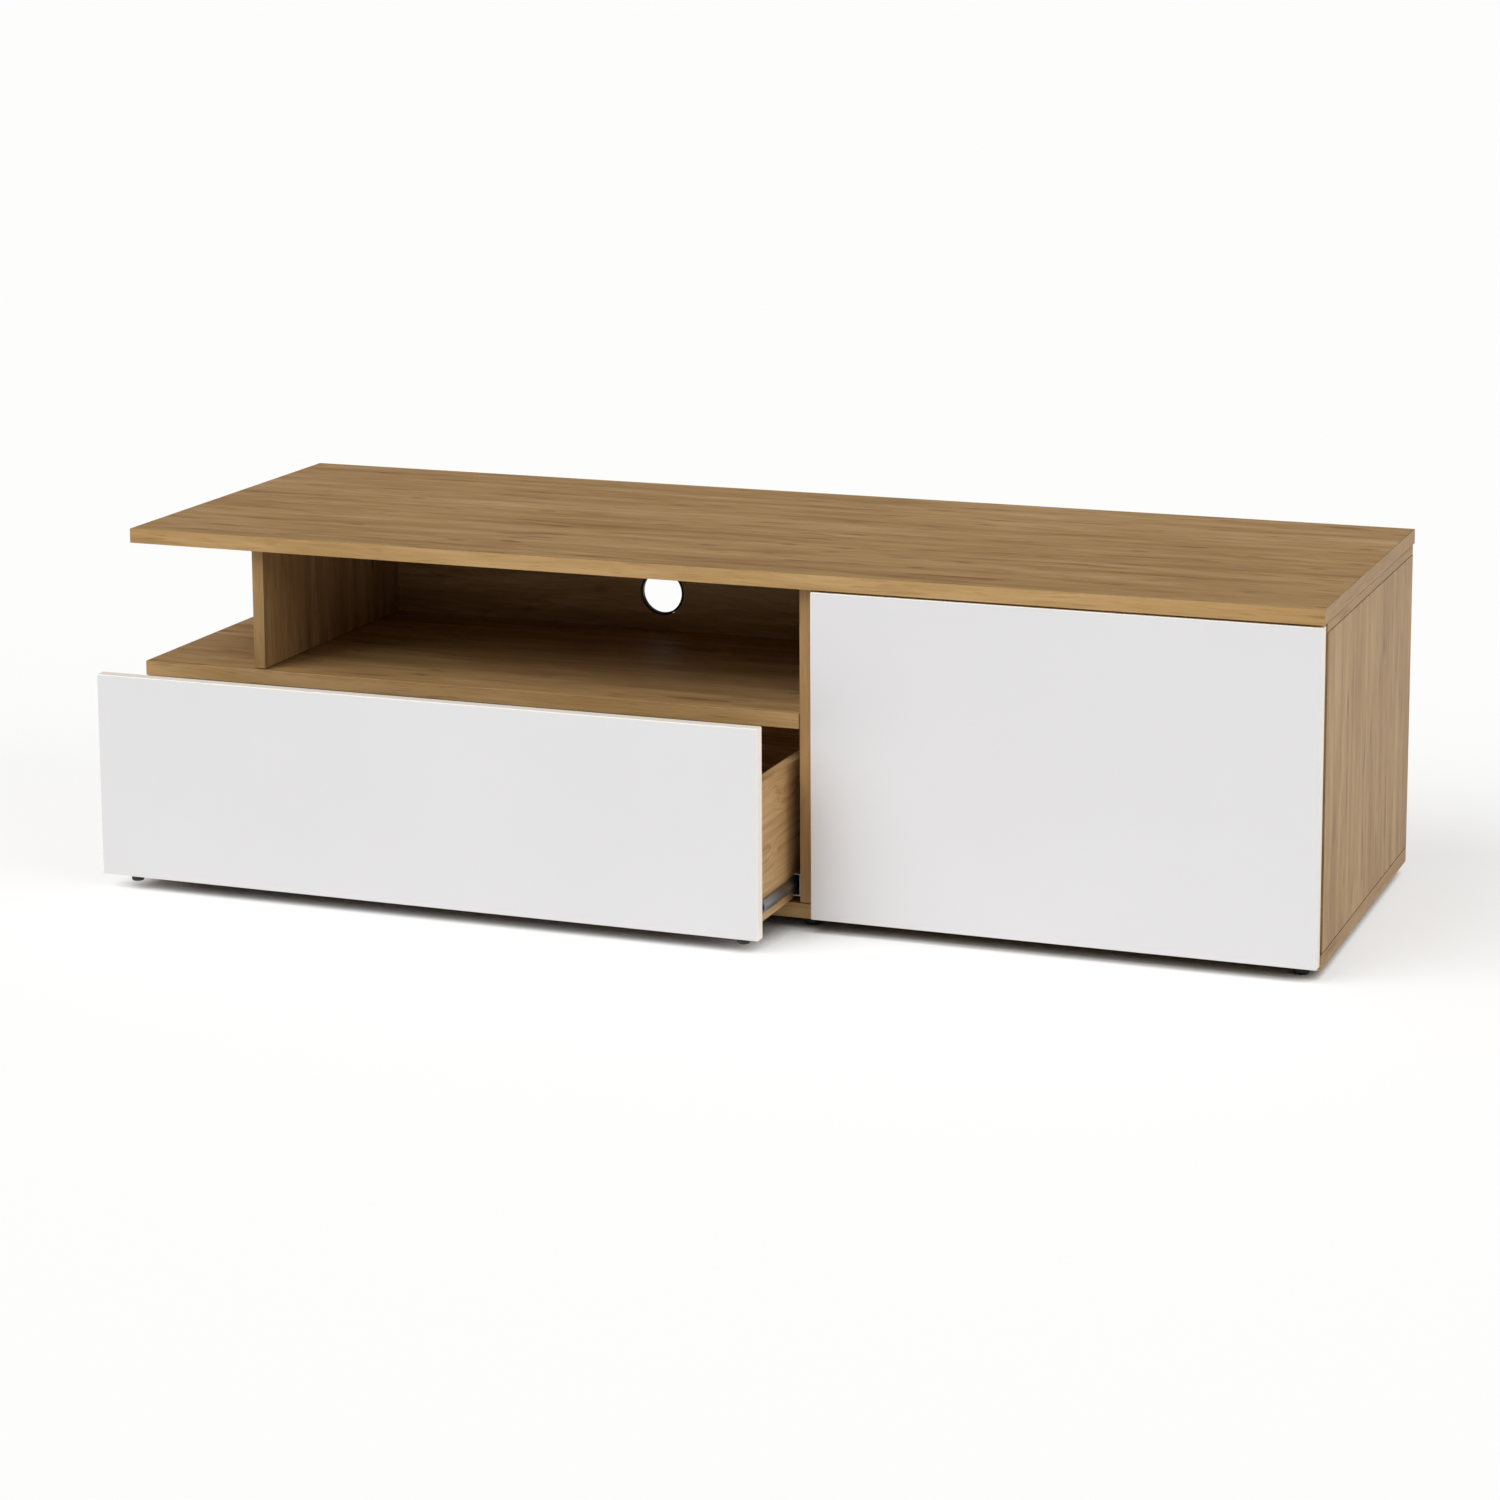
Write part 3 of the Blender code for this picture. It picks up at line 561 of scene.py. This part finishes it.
grey_plastic = moulded("grey_acetal", GREY_PLASTIC, 0.42, 1500.0, 0.0001)
for side, out in (("left", -1), ("right", 1)):
    rail_low, rail_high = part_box("slide_rail_" + side)
    channel_low, channel_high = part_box("slide_channel_" + side)
    cage_low, cage_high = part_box("slide_ball_cage_" + side)
    level = (rail_low.z + rail_high.z) / 2
    # every section is measured outwards from the rail's flat side
    datum = rail_low.x if side == "right" else rail_high.x

    def section(points):
        return [((out * u, v), radius) for u, v, radius in points]

    rail = section([
        (0, -RAIL_HALF, 0), (0.0032, -RAIL_HALF, 0.0010),
        (RAIL_OUT, -0.0016, 0.0014), (RAIL_OUT, 0.0016, 0.0014),
        (0.0032, RAIL_HALF, 0.0010), (0, RAIL_HALF, 0), (0, RAIL_HALF - STRIP, 0),
        (0.0026, RAIL_HALF - STRIP, 0.0005), (RAIL_OUT - STRIP, 0.0011, 0.0008),
        (RAIL_OUT - STRIP, -0.0011, 0.0008), (0.0026, STRIP - RAIL_HALF, 0.0005), (0, STRIP - RAIL_HALF, 0),
    ])
    place = Vector((datum, rail_low.y, level))
    mesh = swept_mesh(rail, "y", place, rail_high.y - rail_low.y)
    fit_piece("drawer_rail_" + side, mesh, "drawer", [zinc_steel], ["slide_rail_" + side])

    far = abs((channel_high.x if side == "right" else channel_low.x) - datum)
    lip = 0.0022
    tall = (channel_high.z - channel_low.z) / 2
    channel = section([
        (far, -tall, 0.0018), (far, tall, 0.0018), (lip, tall, 0.0004), (lip, tall - STRIP, 0.0004),
        (far - STRIP, tall - STRIP, 0.0008), (far - STRIP, STRIP - tall, 0.0008),
        (lip, STRIP - tall, 0.0004), (lip, -tall, 0.0004),
    ])
    place = Vector((datum, channel_low.y, level))
    mesh = swept_mesh(channel, "y", place, channel_high.y - channel_low.y)
    fit_piece(
        "carcass_channel_" + side, mesh, "carcass", [zinc_steel], ["slide_channel_" + side]
    )

    web_x = datum + out * (far - STRIP)
    heads = [
        cross_head(Vector((web_x, channel_low.y + y, level)), (-out, 0, 0), 0.0036, 0.0011)
        for y in (0.037, 0.229, 0.410)
    ]
    fit_piece("channel_screws_" + side, joined_mesh(heads), "carcass", [zinc_steel])

    cage_far = abs((cage_high.x if side == "right" else cage_low.x) - datum)
    cage_tall = (cage_high.z - cage_low.z) / 2
    cage = section([
        (cage_far, -cage_tall, 0.0012), (cage_far, cage_tall, 0.0012), (0.0030, cage_tall, 0.0004),
        (0.0030, cage_tall - STRIP, 0.0004), (cage_far - STRIP, cage_tall - STRIP, 0.0006),
        (cage_far - STRIP, STRIP - cage_tall, 0.0006), (0.0030, STRIP - cage_tall, 0.0004),
        (0.0030, -cage_tall, 0.0004),
    ])
    place = Vector((datum, cage_low.y, level))
    body = side + "_ball_cage"
    mesh = swept_mesh(cage, "y", place, cage_high.y - cage_low.y)
    fit_piece("ball_cage_" + side, mesh, body, [grey_plastic], ["slide_ball_cage_" + side])
    balls = []
    for y in evenly(cage_low.y + 0.006, cage_high.y - 0.006, BALL_PITCH):
        for z in (level - cage_tall + STRIP / 2, level + cage_tall - STRIP / 2):
            shape = bmesh.new()
            bmesh.ops.create_uvsphere(shape, u_segments=14, v_segments=8, radius=BALL_R)
            bmesh.ops.translate(shape, vec=(datum + out * 0.0056, y, z), verts=shape.verts)
            ball = bpy.data.meshes.new("ball")
            shape.to_mesh(ball)
            shape.free()
            ball.shade_smooth()
            balls.append(ball)
    fit_piece("slide_balls_" + side, joined_mesh(balls), body, [zinc_steel])

# --- Drawer box ----------------------------------------------------------------
# 15 mm sides, front and back wrapped in a pine-print foil with a rounded top edge,
# glued and dowelled, with a 5 mm hardboard bottom let into grooves in the sides.

PINE_LIGHT = "CCAB7C"
PINE_MID = "BB9566"
PINE_DARK = "9C7448"
PINE_KNOT = "7A4F28"
SIDE_TOP_ROUND = 0.0024
GROOVE_SLACK = 0.0003


def pine_foil(name, grain, shift):
    """Pine-print foil on the drawer box: warm and light, 4 to 8 mm growth rings, a knot here and there.

    Finish foil is a satin lacquered paper, IOR about 1.5.
    """
    material, tree, shader = new_finish(name, 0.46)
    place = add_node(tree, "TexCoord").outputs["Object"]
    moved = add_node(tree, "VectorMath", {0: place, 1: shift}, operation="ADD").outputs[0]
    # one knot roughly every 150 mm along, and the rings part around it
    spots = add_node(
        tree, "VectorMath", {0: moved, 1: stretch(grain, 6.0, 13.0)}, operation="MULTIPLY"
    ).outputs[0]
    cell = add_node(tree, "TexVoronoi", {"Vector": spots, "Scale": 1.0}).outputs["Distance"]
    pull = {"Value": cell, "From Min": 0.02, "From Max": 0.42, "To Min": 0.022, "To Max": 0.0}
    push = add_node(tree, "MapRange", pull, interpolation_type="SMOOTHSTEP").outputs[0]
    bend = add_node(tree, "TexNoise", {"Vector": moved, "Scale": 3.0, "Detail": 1.0}).outputs["Fac"]
    slow = add_node(tree, "Math", {0: bend, 1: 0.05, 2: push}, operation="MULTIPLY_ADD").outputs[0]
    bent = add_node(tree, "VectorMath", {0: moved, 1: slow}, operation="ADD").outputs[0]
    scaled = add_node(tree, "VectorMath", {0: bent, 1: stretch(grain, 1.2, 120.0)}, operation="MULTIPLY")
    rings = add_node(tree, "TexNoise", {"Vector": scaled.outputs[0], "Scale": 1.0, "Detail": 2.0})
    fine = add_node(tree, "VectorMath", {0: bent, 1: stretch(grain, 8.0, 380.0)}, operation="MULTIPLY")
    fibres = add_node(tree, "TexNoise", {"Vector": fine.outputs[0], "Scale": 1.0, "Detail": 2.0})
    tone = add_node(tree, "Math", {0: rings.outputs["Fac"], 1: fibres.outputs["Fac"]}, operation="ADD")
    share = add_node(
        tree, "MapRange", {"Value": tone.outputs[0], "From Min": 0.65, "From Max": 1.35}
    ).outputs[0]
    stops = ((0, PINE_DARK), (0.42, PINE_MID), (1, PINE_LIGHT))
    colour = add_node(tree, "ValToRGB", {"Fac": share}, stops=stops).outputs["Color"]
    knot_inputs = {"Value": cell, "From Min": 0.15, "From Max": 0.05, "To Max": 0.8}
    knot = add_node(tree, "MapRange", knot_inputs).outputs[0]
    mixed = {0: knot, 6: colour, 7: linear(PINE_KNOT)}
    colour = add_node(tree, "Mix", mixed, data_type="RGBA").outputs[2]
    tree.links.new(colour, shader.inputs["Base Color"])
    relief = add_node(tree, "Bump", {"Height": fibres.outputs["Fac"], "Strength": 0.1, "Distance": 0.0002})
    tree.links.new(relief.outputs[0], shader.inputs["Normal"])
    return material


sheet_low, sheet_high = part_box("drawer_bottom")
pine_along_y = pine_foil("pine_foil_sides", "y", (0.75, 0.31, 0.42))
pine_along_x = pine_foil("pine_foil_ends", "x", (1.2, 0.8, 0.15))
for side in ("left", "right"):
    node = "drawer_side_" + side
    low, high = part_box(node)
    groove = (sheet_low.x - low.x if side == "left" else high.x - sheet_high.x) - GROOVE_SLACK
    inner, outer = (high.x, low.x) if side == "left" else (low.x, high.x)
    groove_x = outer + math.copysign(groove, inner - outer)
    below = sheet_low.z - GROOVE_SLACK
    above = sheet_high.z + GROOVE_SLACK
    outline = [
        ((outer, low.z), 0.0004), ((outer, high.z), SIDE_TOP_ROUND), ((inner, high.z), SIDE_TOP_ROUND),
        ((inner, above), 0.0003), ((groove_x, above), 0), ((groove_x, below), 0),
        ((inner, below), 0.0003), ((inner, low.z), 0.0004),
    ]
    mesh = swept_mesh(outline, "y", (0, low.y, 0), high.y - low.y, 6)
    for face in mesh.polygons:
        face.material_index = 1 if abs(face.normal.y) > 0.9 else 0
    finishes = [pine_along_y, raw_edge]
    fit_piece(node + "_board", mesh, "drawer", finishes, [node])
for node in ("drawer_inner_front", "drawer_back"):
    low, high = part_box(node)
    outline = [
        ((low.y, low.z), 0.0004), ((low.y, high.z), SIDE_TOP_ROUND), ((high.y, high.z), SIDE_TOP_ROUND),
        ((high.y, low.z), 0.0004),
    ]
    mesh = swept_mesh(outline, "x", (low.x, 0, 0), high.x - low.x, 6)
    fit_piece(node + "_board", mesh, "drawer", [pine_along_x], [node])
sheet = slab_mesh(sheet_low, sheet_high, 0.0004, 2)
for face in sheet.polygons:
    face.material_index = 1 if face.normal.z > 0.5 else 0
fit_piece("drawer_bottom_sheet", sheet, "drawer", [hardboard, pine_along_x], ["drawer_bottom"])

# --- Drawer front --------------------------------------------------------------
# A 16 mm MDF panel, its face and rounded edges wrapped in one white satin foil. Four
# pan-head screws pull it to the box, and two nailed glides sit under its lower edge.

WHITE_FOIL = "E4E3E4"
WHITE_SHADE = "E0DFE0"
# a lighter, warmer white for the fronts' edges and rounded arrises: a painted edge highlight
PAINTED_EDGE_HIGHLIGHT = "FBF4EA"
FRONT_ROUND = 0.0013


def white_foil(name, light, shade):
    """Thermoformed white PVC foil: satin, IOR 1.53, with the faint orange peel of the MDF below.

    The peel's waves are about 3 mm long and a few hundredths of a millimetre high.
    """
    material, tree, shader = new_finish(name, 0.36, ior=1.53)
    place = add_node(tree, "TexCoord").outputs["Object"]
    clouds = add_node(tree, "TexNoise", {"Vector": place, "Scale": 6.0, "Detail": 2.0}).outputs["Fac"]
    mixed = {0: clouds, 6: linear(shade), 7: linear(light)}
    colour = add_node(tree, "Mix", mixed, data_type="RGBA").outputs[2]
    tree.links.new(colour, shader.inputs["Base Color"])
    peel = add_node(tree, "TexNoise", {"Vector": place, "Scale": 320.0, "Detail": 1.0}).outputs["Fac"]
    rough = add_node(tree, "MapRange", {"Value": peel, "To Min": 0.33, "To Max": 0.40}).outputs[0]
    tree.links.new(rough, shader.inputs["Roughness"])
    relief = add_node(tree, "Bump", {"Height": peel, "Strength": 0.05, "Distance": 0.0002}).outputs[0]
    tree.links.new(relief, shader.inputs["Normal"])
    return material


def foil_panel(name, node, body):
    """A front's MDF panel: foil on its face and back, and a lighter, warmer copy of the foil on its edges, a
    painted highlight.
    """
    low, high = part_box(node)
    mesh = slab_mesh(low, high, FRONT_ROUND, 8)
    for face in mesh.polygons:
        face.material_index = 0 if abs(face.normal.y) > 0.9 else 1
    return fit_piece(name, mesh, body, [foil, edge_highlight_foil], [node])


def clear_polyurethane():
    """Clear self-adhesive polyurethane: soft, glossy and slightly milky, IOR 1.5."""
    material, tree, shader = new_finish("clear_polyurethane", 0.22)
    shader.inputs["Transmission Weight"].default_value = 0.55
    place = add_node(tree, "TexCoord").outputs["Object"]
    haze = add_node(tree, "TexNoise", {"Vector": place, "Scale": 500.0}).outputs["Fac"]
    mixed = {0: haze, 6: linear("D9D9D4"), 7: linear("EDEDE8")}
    colour = add_node(tree, "Mix", mixed, data_type="RGBA").outputs[2]
    tree.links.new(colour, shader.inputs["Base Color"])
    return material


def stop_pad(node, body):
    """A self-adhesive dome on the back of a front, seen from its flat side outwards."""
    low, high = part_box(node)
    radius = (high.x - low.x) / 2
    height = high.y - low.y
    corners = [
        ((0, 0), 0), ((radius, 0), 0.0002), ((radius * 0.86, height * 0.78), radius * 0.3), ((0, height), 0),
    ]
    place = Vector(((low.x + high.x) / 2, low.y, (low.z + high.z) / 2))
    mesh = turned_mesh(corners, place, (0, 1, 0), 32)
    fit_piece(node + "_dome", mesh, body, [clear_pad], [node])


foil = white_foil("white_satin_foil", WHITE_FOIL, WHITE_SHADE)
# the edges get a lighter, warmer copy of the foil, a painted edge highlight
edge_highlight_foil = white_foil("white_foil_painted_edge_highlight", PAINTED_EDGE_HIGHLIGHT, PAINTED_EDGE_HIGHLIGHT)
clear_pad = clear_polyurethane()
foil_panel("drawer_front_panel", "drawer_front", "drawer")
for number in (1, 2, 3, 4):
    node = f"drawer_front_screw_{number}"
    low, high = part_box(node)
    _, inner_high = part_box("drawer_inner_front")
    place = Vector(((low.x + high.x) / 2, inner_high.y + 0.0003, (low.z + high.z) / 2))
    head = cross_head(place, (0, 1, 0), (high.x - low.x) / 2, high.y - place.y)
    fit_piece(node + "_head", head, "drawer", [zinc_steel], [node])
for side in ("left", "right"):
    stop_pad("drawer_stop_pad_" + side, "drawer")
    node = "drawer_front_glide_" + side
    low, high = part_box(node)
    radius = (high.x - low.x) / 2
    corners = [
        ((0, 0.0012), 0), ((0.0026, 0.0012), 0), ((0.0031, 0), 0.0003), ((radius - 0.0008, 0), 0.0008),
        ((radius, 0.0022), 0.0008), ((radius, high.z - low.z), 0.0002), ((0, high.z - low.z), 0),
    ]
    place = Vector(((low.x + high.x) / 2, (low.y + high.y) / 2, low.z))
    fit_piece(
        node + "_button", turned_mesh(corners, place), "drawer", [black_plastic], [node]
    )

# --- Door and its hinges ---------------------------------------------------------
# The same foil-wrapped MDF, bored for two concealed hinges. Each has a nickel-plated
# cup screwed into the door, and a cranked arm on a plate screwed to the right wall.

NICKEL = "C9C4BA"
FLANGE_REACH = 0.030
FLANGE_HALF = 0.0062
CUP_SCREW = 0.024
CUP_WALL = 0.0014


def refined_mesh(node, rounding, segments):
    """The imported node's own shape with its arrises rounded."""
    shape = bmesh.new()
    shape.from_mesh(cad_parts[node].data)
    bmesh.ops.remove_doubles(shape, verts=shape.verts, dist=1e-6)
    bmesh.ops.dissolve_limit(
        shape, angle_limit=math.radians(1), verts=shape.verts, edges=shape.edges
    )
    sharp = [e for e in shape.edges if len(e.link_faces) == 2 and e.calc_face_angle() > math.radians(30)]
    bmesh.ops.bevel(
        shape, geom=sharp, offset=rounding, segments=segments, profile=0.5,
        affect="EDGES", clamp_overlap=True
    )
    mesh = bpy.data.meshes.new("refined")
    shape.to_mesh(mesh)
    shape.free()
    mesh.shade_smooth()
    mesh.set_sharp_from_angle(angle=math.radians(35))
    return mesh


nickel_steel = plated_steel("nickel_plated_steel", NICKEL, 0.22, (700.0, 700.0, 120.0))
door = foil_panel("door_front_panel", "door_panel", "door")
door_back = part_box("door_panel")[1].y
for level in ("lower", "upper"):
    node = "hinge_cup_" + level
    low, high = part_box(node)
    centre = Vector(((low.x + high.x) / 2, door_back, (low.z + high.z) / 2))
    bore_r = (high.x - low.x) / 2 - 0.0015
    depth = door_back - low.y
    bore = round_cutter(centre - Vector((0, depth + 0.0003, 0)), bore_r, depth + 0.01, (0, 1, 0), 96)
    cut_away(door, bore)
    cup_r = bore_r - 0.0003
    cup_corners = [
        ((0, -depth), 0), ((cup_r, -depth), 0.0025), ((cup_r, 0.0002), 0), ((cup_r - CUP_WALL, 0.0002), 0),
        ((cup_r - CUP_WALL, CUP_WALL - depth), 0.0020), ((0, CUP_WALL - depth), 0),
    ]
    cup = turned_mesh(cup_corners, centre, (0, 1, 0), 96)
    fit_piece(node + "_bowl", cup, "door", [nickel_steel], [node])
    flange_outline = [
        ((centre.x - FLANGE_HALF, centre.z - FLANGE_REACH), 0.004),
        ((centre.x + FLANGE_HALF, centre.z - FLANGE_REACH), 0.004),
        ((centre.x + FLANGE_HALF, centre.z - 0.0185), 0.0015),
        ((centre.x + 0.0145, centre.z - 0.0122), 0.004),
        ((centre.x + 0.0185, centre.z), 0.008), ((centre.x + 0.0145, centre.z + 0.0122), 0.004),
        ((centre.x + FLANGE_HALF, centre.z + 0.0185), 0.0015),
        ((centre.x + FLANGE_HALF, centre.z + FLANGE_REACH), 0.004),
        ((centre.x - FLANGE_HALF, centre.z + FLANGE_REACH), 0.004),
        ((centre.x - FLANGE_HALF, centre.z + 0.0185), 0.0015),
        ((centre.x - 0.0145, centre.z + 0.0122), 0.004),
        ((centre.x - 0.0185, centre.z), 0.008), ((centre.x - 0.0145, centre.z - 0.0122), 0.004),
        ((centre.x - FLANGE_HALF, centre.z - 0.0185), 0.0015),
    ]
    flange_y = door_back + 0.0003
    flange_mesh = swept_mesh(flange_outline, "y", (0, flange_y, 0), high.y - flange_y, 6)
    flange = fit_piece(f"hinge_flange_{level}", flange_mesh, "door", [nickel_steel])
    mouth = round_cutter(centre - Vector((0, 0.002, 0)), cup_r - CUP_WALL, 0.01, (0, 1, 0), 96)
    cut_away(flange, mouth)
    heads = [
        cross_head(Vector((centre.x, high.y, centre.z + z)), (0, 1, 0), 0.0034, 0.0007)
        for z in (-CUP_SCREW, CUP_SCREW)
    ]
    fit_piece(f"hinge_cup_screws_{level}", joined_mesh(heads), "door", [zinc_steel])

    node = "hinge_arm_" + level
    low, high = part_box(node)
    fit_piece(
        node + "_pressing", refined_mesh(node, 0.0006, 3), "carcass",
        [nickel_steel], [node]
    )
    heads = [
        cross_head(Vector((low.x, high.y - y, centre.z)), (-1, 0, 0), 0.0031, 0.0010)
        for y in (0.010, 0.028)
    ]
    fit_piece(f"hinge_adjusters_{level}", joined_mesh(heads), "carcass", [zinc_steel])

    node = "hinge_plate_" + level
    low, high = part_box(node)
    plate_outline = [
        ((low.y, low.z), 0.005), ((high.y, low.z), 0.005),
        ((high.y, high.z), 0.005), ((low.y, high.z), 0.005),
    ]
    mesh = swept_mesh(plate_outline, "x", (low.x, 0, 0), high.x - low.x, 6)
    fit_piece(node + "_wing", mesh, "carcass", [nickel_steel], [node])
    middle_y = (low.y + high.y) / 2
    heads = [
        cross_head(Vector((low.x, middle_y, centre.z + z)), (-1, 0, 0), 0.0036, 0.0016)
        for z in (-0.015, 0.015)
    ]
    fit_piece(f"hinge_plate_screws_{level}", joined_mesh(heads), "carcass", [zinc_steel])
    stop_pad("door_stop_pad_" + level, "door")

# --- Loose shelf and its pins ------------------------------------------------------
# A 16 mm faced board that lies on four 5 mm nickel-plated pins, each with a small
# collar against the wall. It can be moved by one or two holes.

oak_board("inner_shelf", "x", ["-y"], (1.9, 2.6, 0.8))
for side, inward in (("left", 1), ("right", -1)):
    for end in ("front", "rear"):
        node = f"shelf_pin_{side}_{end}"
        low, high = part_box(node)
        collar_r = (high.z - low.z) / 2
        pin_r = collar_r / 1.4
        length = high.x - low.x
        in_wall = length / 2
        corners = [
            ((0, 0), 0), ((pin_r, 0), 0.0005), ((pin_r, in_wall + 0.0002), 0),
            ((collar_r, in_wall + 0.0002), 0.0002),
            ((collar_r, in_wall + 0.0012), 0.0004), ((pin_r, in_wall + 0.0014), 0),
            ((pin_r, length), 0.0008),
            ((0, length), 0),
        ]
        tip = low.x if inward > 0 else high.x
        place = Vector((tip, (low.y + high.y) / 2, (low.z + high.z) / 2))
        mesh = turned_mesh(corners, place, (inward, 0, 0), 32)
        fit_piece(node + "_stud", mesh, "carcass", [nickel_steel], [node])

# --- Push latches ------------------------------------------------------------------
# Both fronts open on a push: a grey moulded housing under the board above holds a
# sprung plunger that throws the front a few millimetres out.

for name in ("door", "drawer"):
    node = name + "_latch_housing"
    fit_piece(
        node + "_body", refined_mesh(node, 0.0004, 2), "carcass", [grey_plastic], [node]
    )
    node = name + "_latch_plunger"
    low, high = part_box(node)
    radius = (high.x - low.x) / 2
    length = high.y - low.y
    corners = [
        ((0, 0), 0), ((radius * 0.72, 0), 0.0006), ((radius, 0.0012), 0.0006), ((radius, length), 0.0003),
        ((0, length), 0),
    ]
    place = Vector(((low.x + high.x) / 2, low.y, (low.z + high.z) / 2))
    mesh = turned_mesh(corners, place, (0, 1, 0), 40)
    fit_piece(node + "_pin", mesh, name + "_push_plunger", [grey_plastic], [node])

# --- Studio ------------------------------------------------------------------------
# A pale seamless floor between two large scrims, a white one high on the front left and
# a slightly warm one low on the right, under a dim ceiling. The floor glows like a lit table.

FLOOR_HALF = 60.0
SKY_LOW = 0.12
SKY_HIGH = 0.40
SKY_SEEN = 0.98
KEY = 2.17
KEY_TINT = "FFFFFF"
KEY_WIDTH = math.radians(50)
KEY_FROM = (-0.32, -0.38, 0.48)
FILL = 0.91
FILL_WIDTH = math.radians(40)
FILL_FROM = (0.897, -0.126, 0.42)
FILL_TINT = "FFF9F1"
FLOOR_GREY = "AAAAAA"
FLOOR_GLOW = 0.635
# how far above the floor the painted contact shadow in the floor's glow reaches
CONTACT_SHADOW_REACH = 0.15
CAMERA_LENS = 91.76
CAMERA_SHIFT = -0.20
CAMERA_PLACE = (1.6202, -4.2944, 1.2952)
CAMERA_YAW = 0.3618
CAMERA_PITCH = -0.1638
CAMERA_ROLL = -0.0052

floor_shape = bmesh.new()
bmesh.ops.create_grid(floor_shape, x_segments=8, y_segments=8, size=FLOOR_HALF)
floor_mesh = bpy.data.meshes.new("studio_floor")
floor_shape.to_mesh(floor_mesh)
floor_shape.free()
floor = bpy.data.objects.new("studio_floor", floor_mesh)
bpy.context.scene.collection.objects.link(floor)
pale, tree, shader = new_finish("pale_studio_floor", 0.9)
shader.inputs["Base Color"].default_value = linear(FLOOR_GREY)
shader.inputs["Specular IOR Level"].default_value = 0.0
shader.inputs["Emission Color"].default_value = (1.0, 1.0, 1.0, 1.0)
# an ambient-occlusion mask shuts the glow off where something stands close above it: a painted contact
# shadow, so gaps near the floor stay dark
shade = add_node(tree, "AmbientOcclusion", {"Distance": CONTACT_SHADOW_REACH}, samples=8).outputs["AO"]
glow_inputs = {"Value": shade, "From Min": 0.12, "From Max": 0.45, "To Min": 0.0, "To Max": FLOOR_GLOW}
glow = add_node(tree, "MapRange", glow_inputs, interpolation_type="SMOOTHSTEP").outputs[0]
tree.links.new(glow, shader.inputs["Emission Strength"])
floor_mesh.materials.append(pale)

world = bpy.data.worlds.new("studio_light")
world.use_nodes = True
sky = world.node_tree
background = sky.nodes["Background"]
background.inputs["Color"].default_value = (1.0, 1.0, 1.0, 1.0)
# the ceiling gives most of its light from straight above, and a white wall closes the view
direction = add_node(sky, "TexCoord").outputs["Generated"]
height = add_node(sky, "SeparateXYZ", {0: direction}).outputs["Z"]
ceiling = {"Value": height, "From Min": 0.35, "From Max": 1.0, "To Min": SKY_LOW, "To Max": SKY_HIGH}
given = add_node(sky, "MapRange", ceiling, interpolation_type="SMOOTHSTEP").outputs[0]
seen = add_node(sky, "LightPath").outputs["Is Camera Ray"]
wall = add_node(sky, "Math", {0: seen, 1: SKY_SEEN}, operation="MULTIPLY").outputs[0]
strength = add_node(sky, "Math", {0: given, 1: wall}, operation="MAXIMUM").outputs[0]
sky.links.new(strength, background.inputs["Strength"])
bpy.context.scene.world = world

lights = (
    ("front_left_scrim", KEY, KEY_WIDTH, KEY_FROM, KEY_TINT),
    ("right_scrim", FILL, FILL_WIDTH, FILL_FROM, FILL_TINT),
)
for name, strength, width, source, tint in lights:
    light_data = bpy.data.lights.new(name, "SUN")
    light_data.energy = strength
    light_data.angle = width
    light_data.color = linear(tint)[:3]
    light = bpy.data.objects.new(name, light_data)
    bpy.context.scene.collection.objects.link(light)
    light.rotation_euler = Vector(source).to_track_quat("Z", "Y").to_euler()

camera_data = bpy.data.cameras.new("front_right_camera")
camera_data.sensor_width = 36.0
camera_data.lens = CAMERA_LENS
camera_data.shift_y = CAMERA_SHIFT
camera_data.clip_end = 300.0
camera = bpy.data.objects.new("front_right_camera", camera_data)
bpy.context.scene.collection.objects.link(camera)
camera.matrix_world = (
    Matrix.Translation(CAMERA_PLACE)
    @ Matrix.Rotation(CAMERA_YAW, 4, "Z")
    @ Matrix.Rotation(math.pi / 2 + CAMERA_PITCH, 4, "X")
    @ Matrix.Rotation(CAMERA_ROLL, 4, "Z")
)
bpy.context.scene.camera = camera
bpy.context.scene.view_settings.view_transform = "Standard"
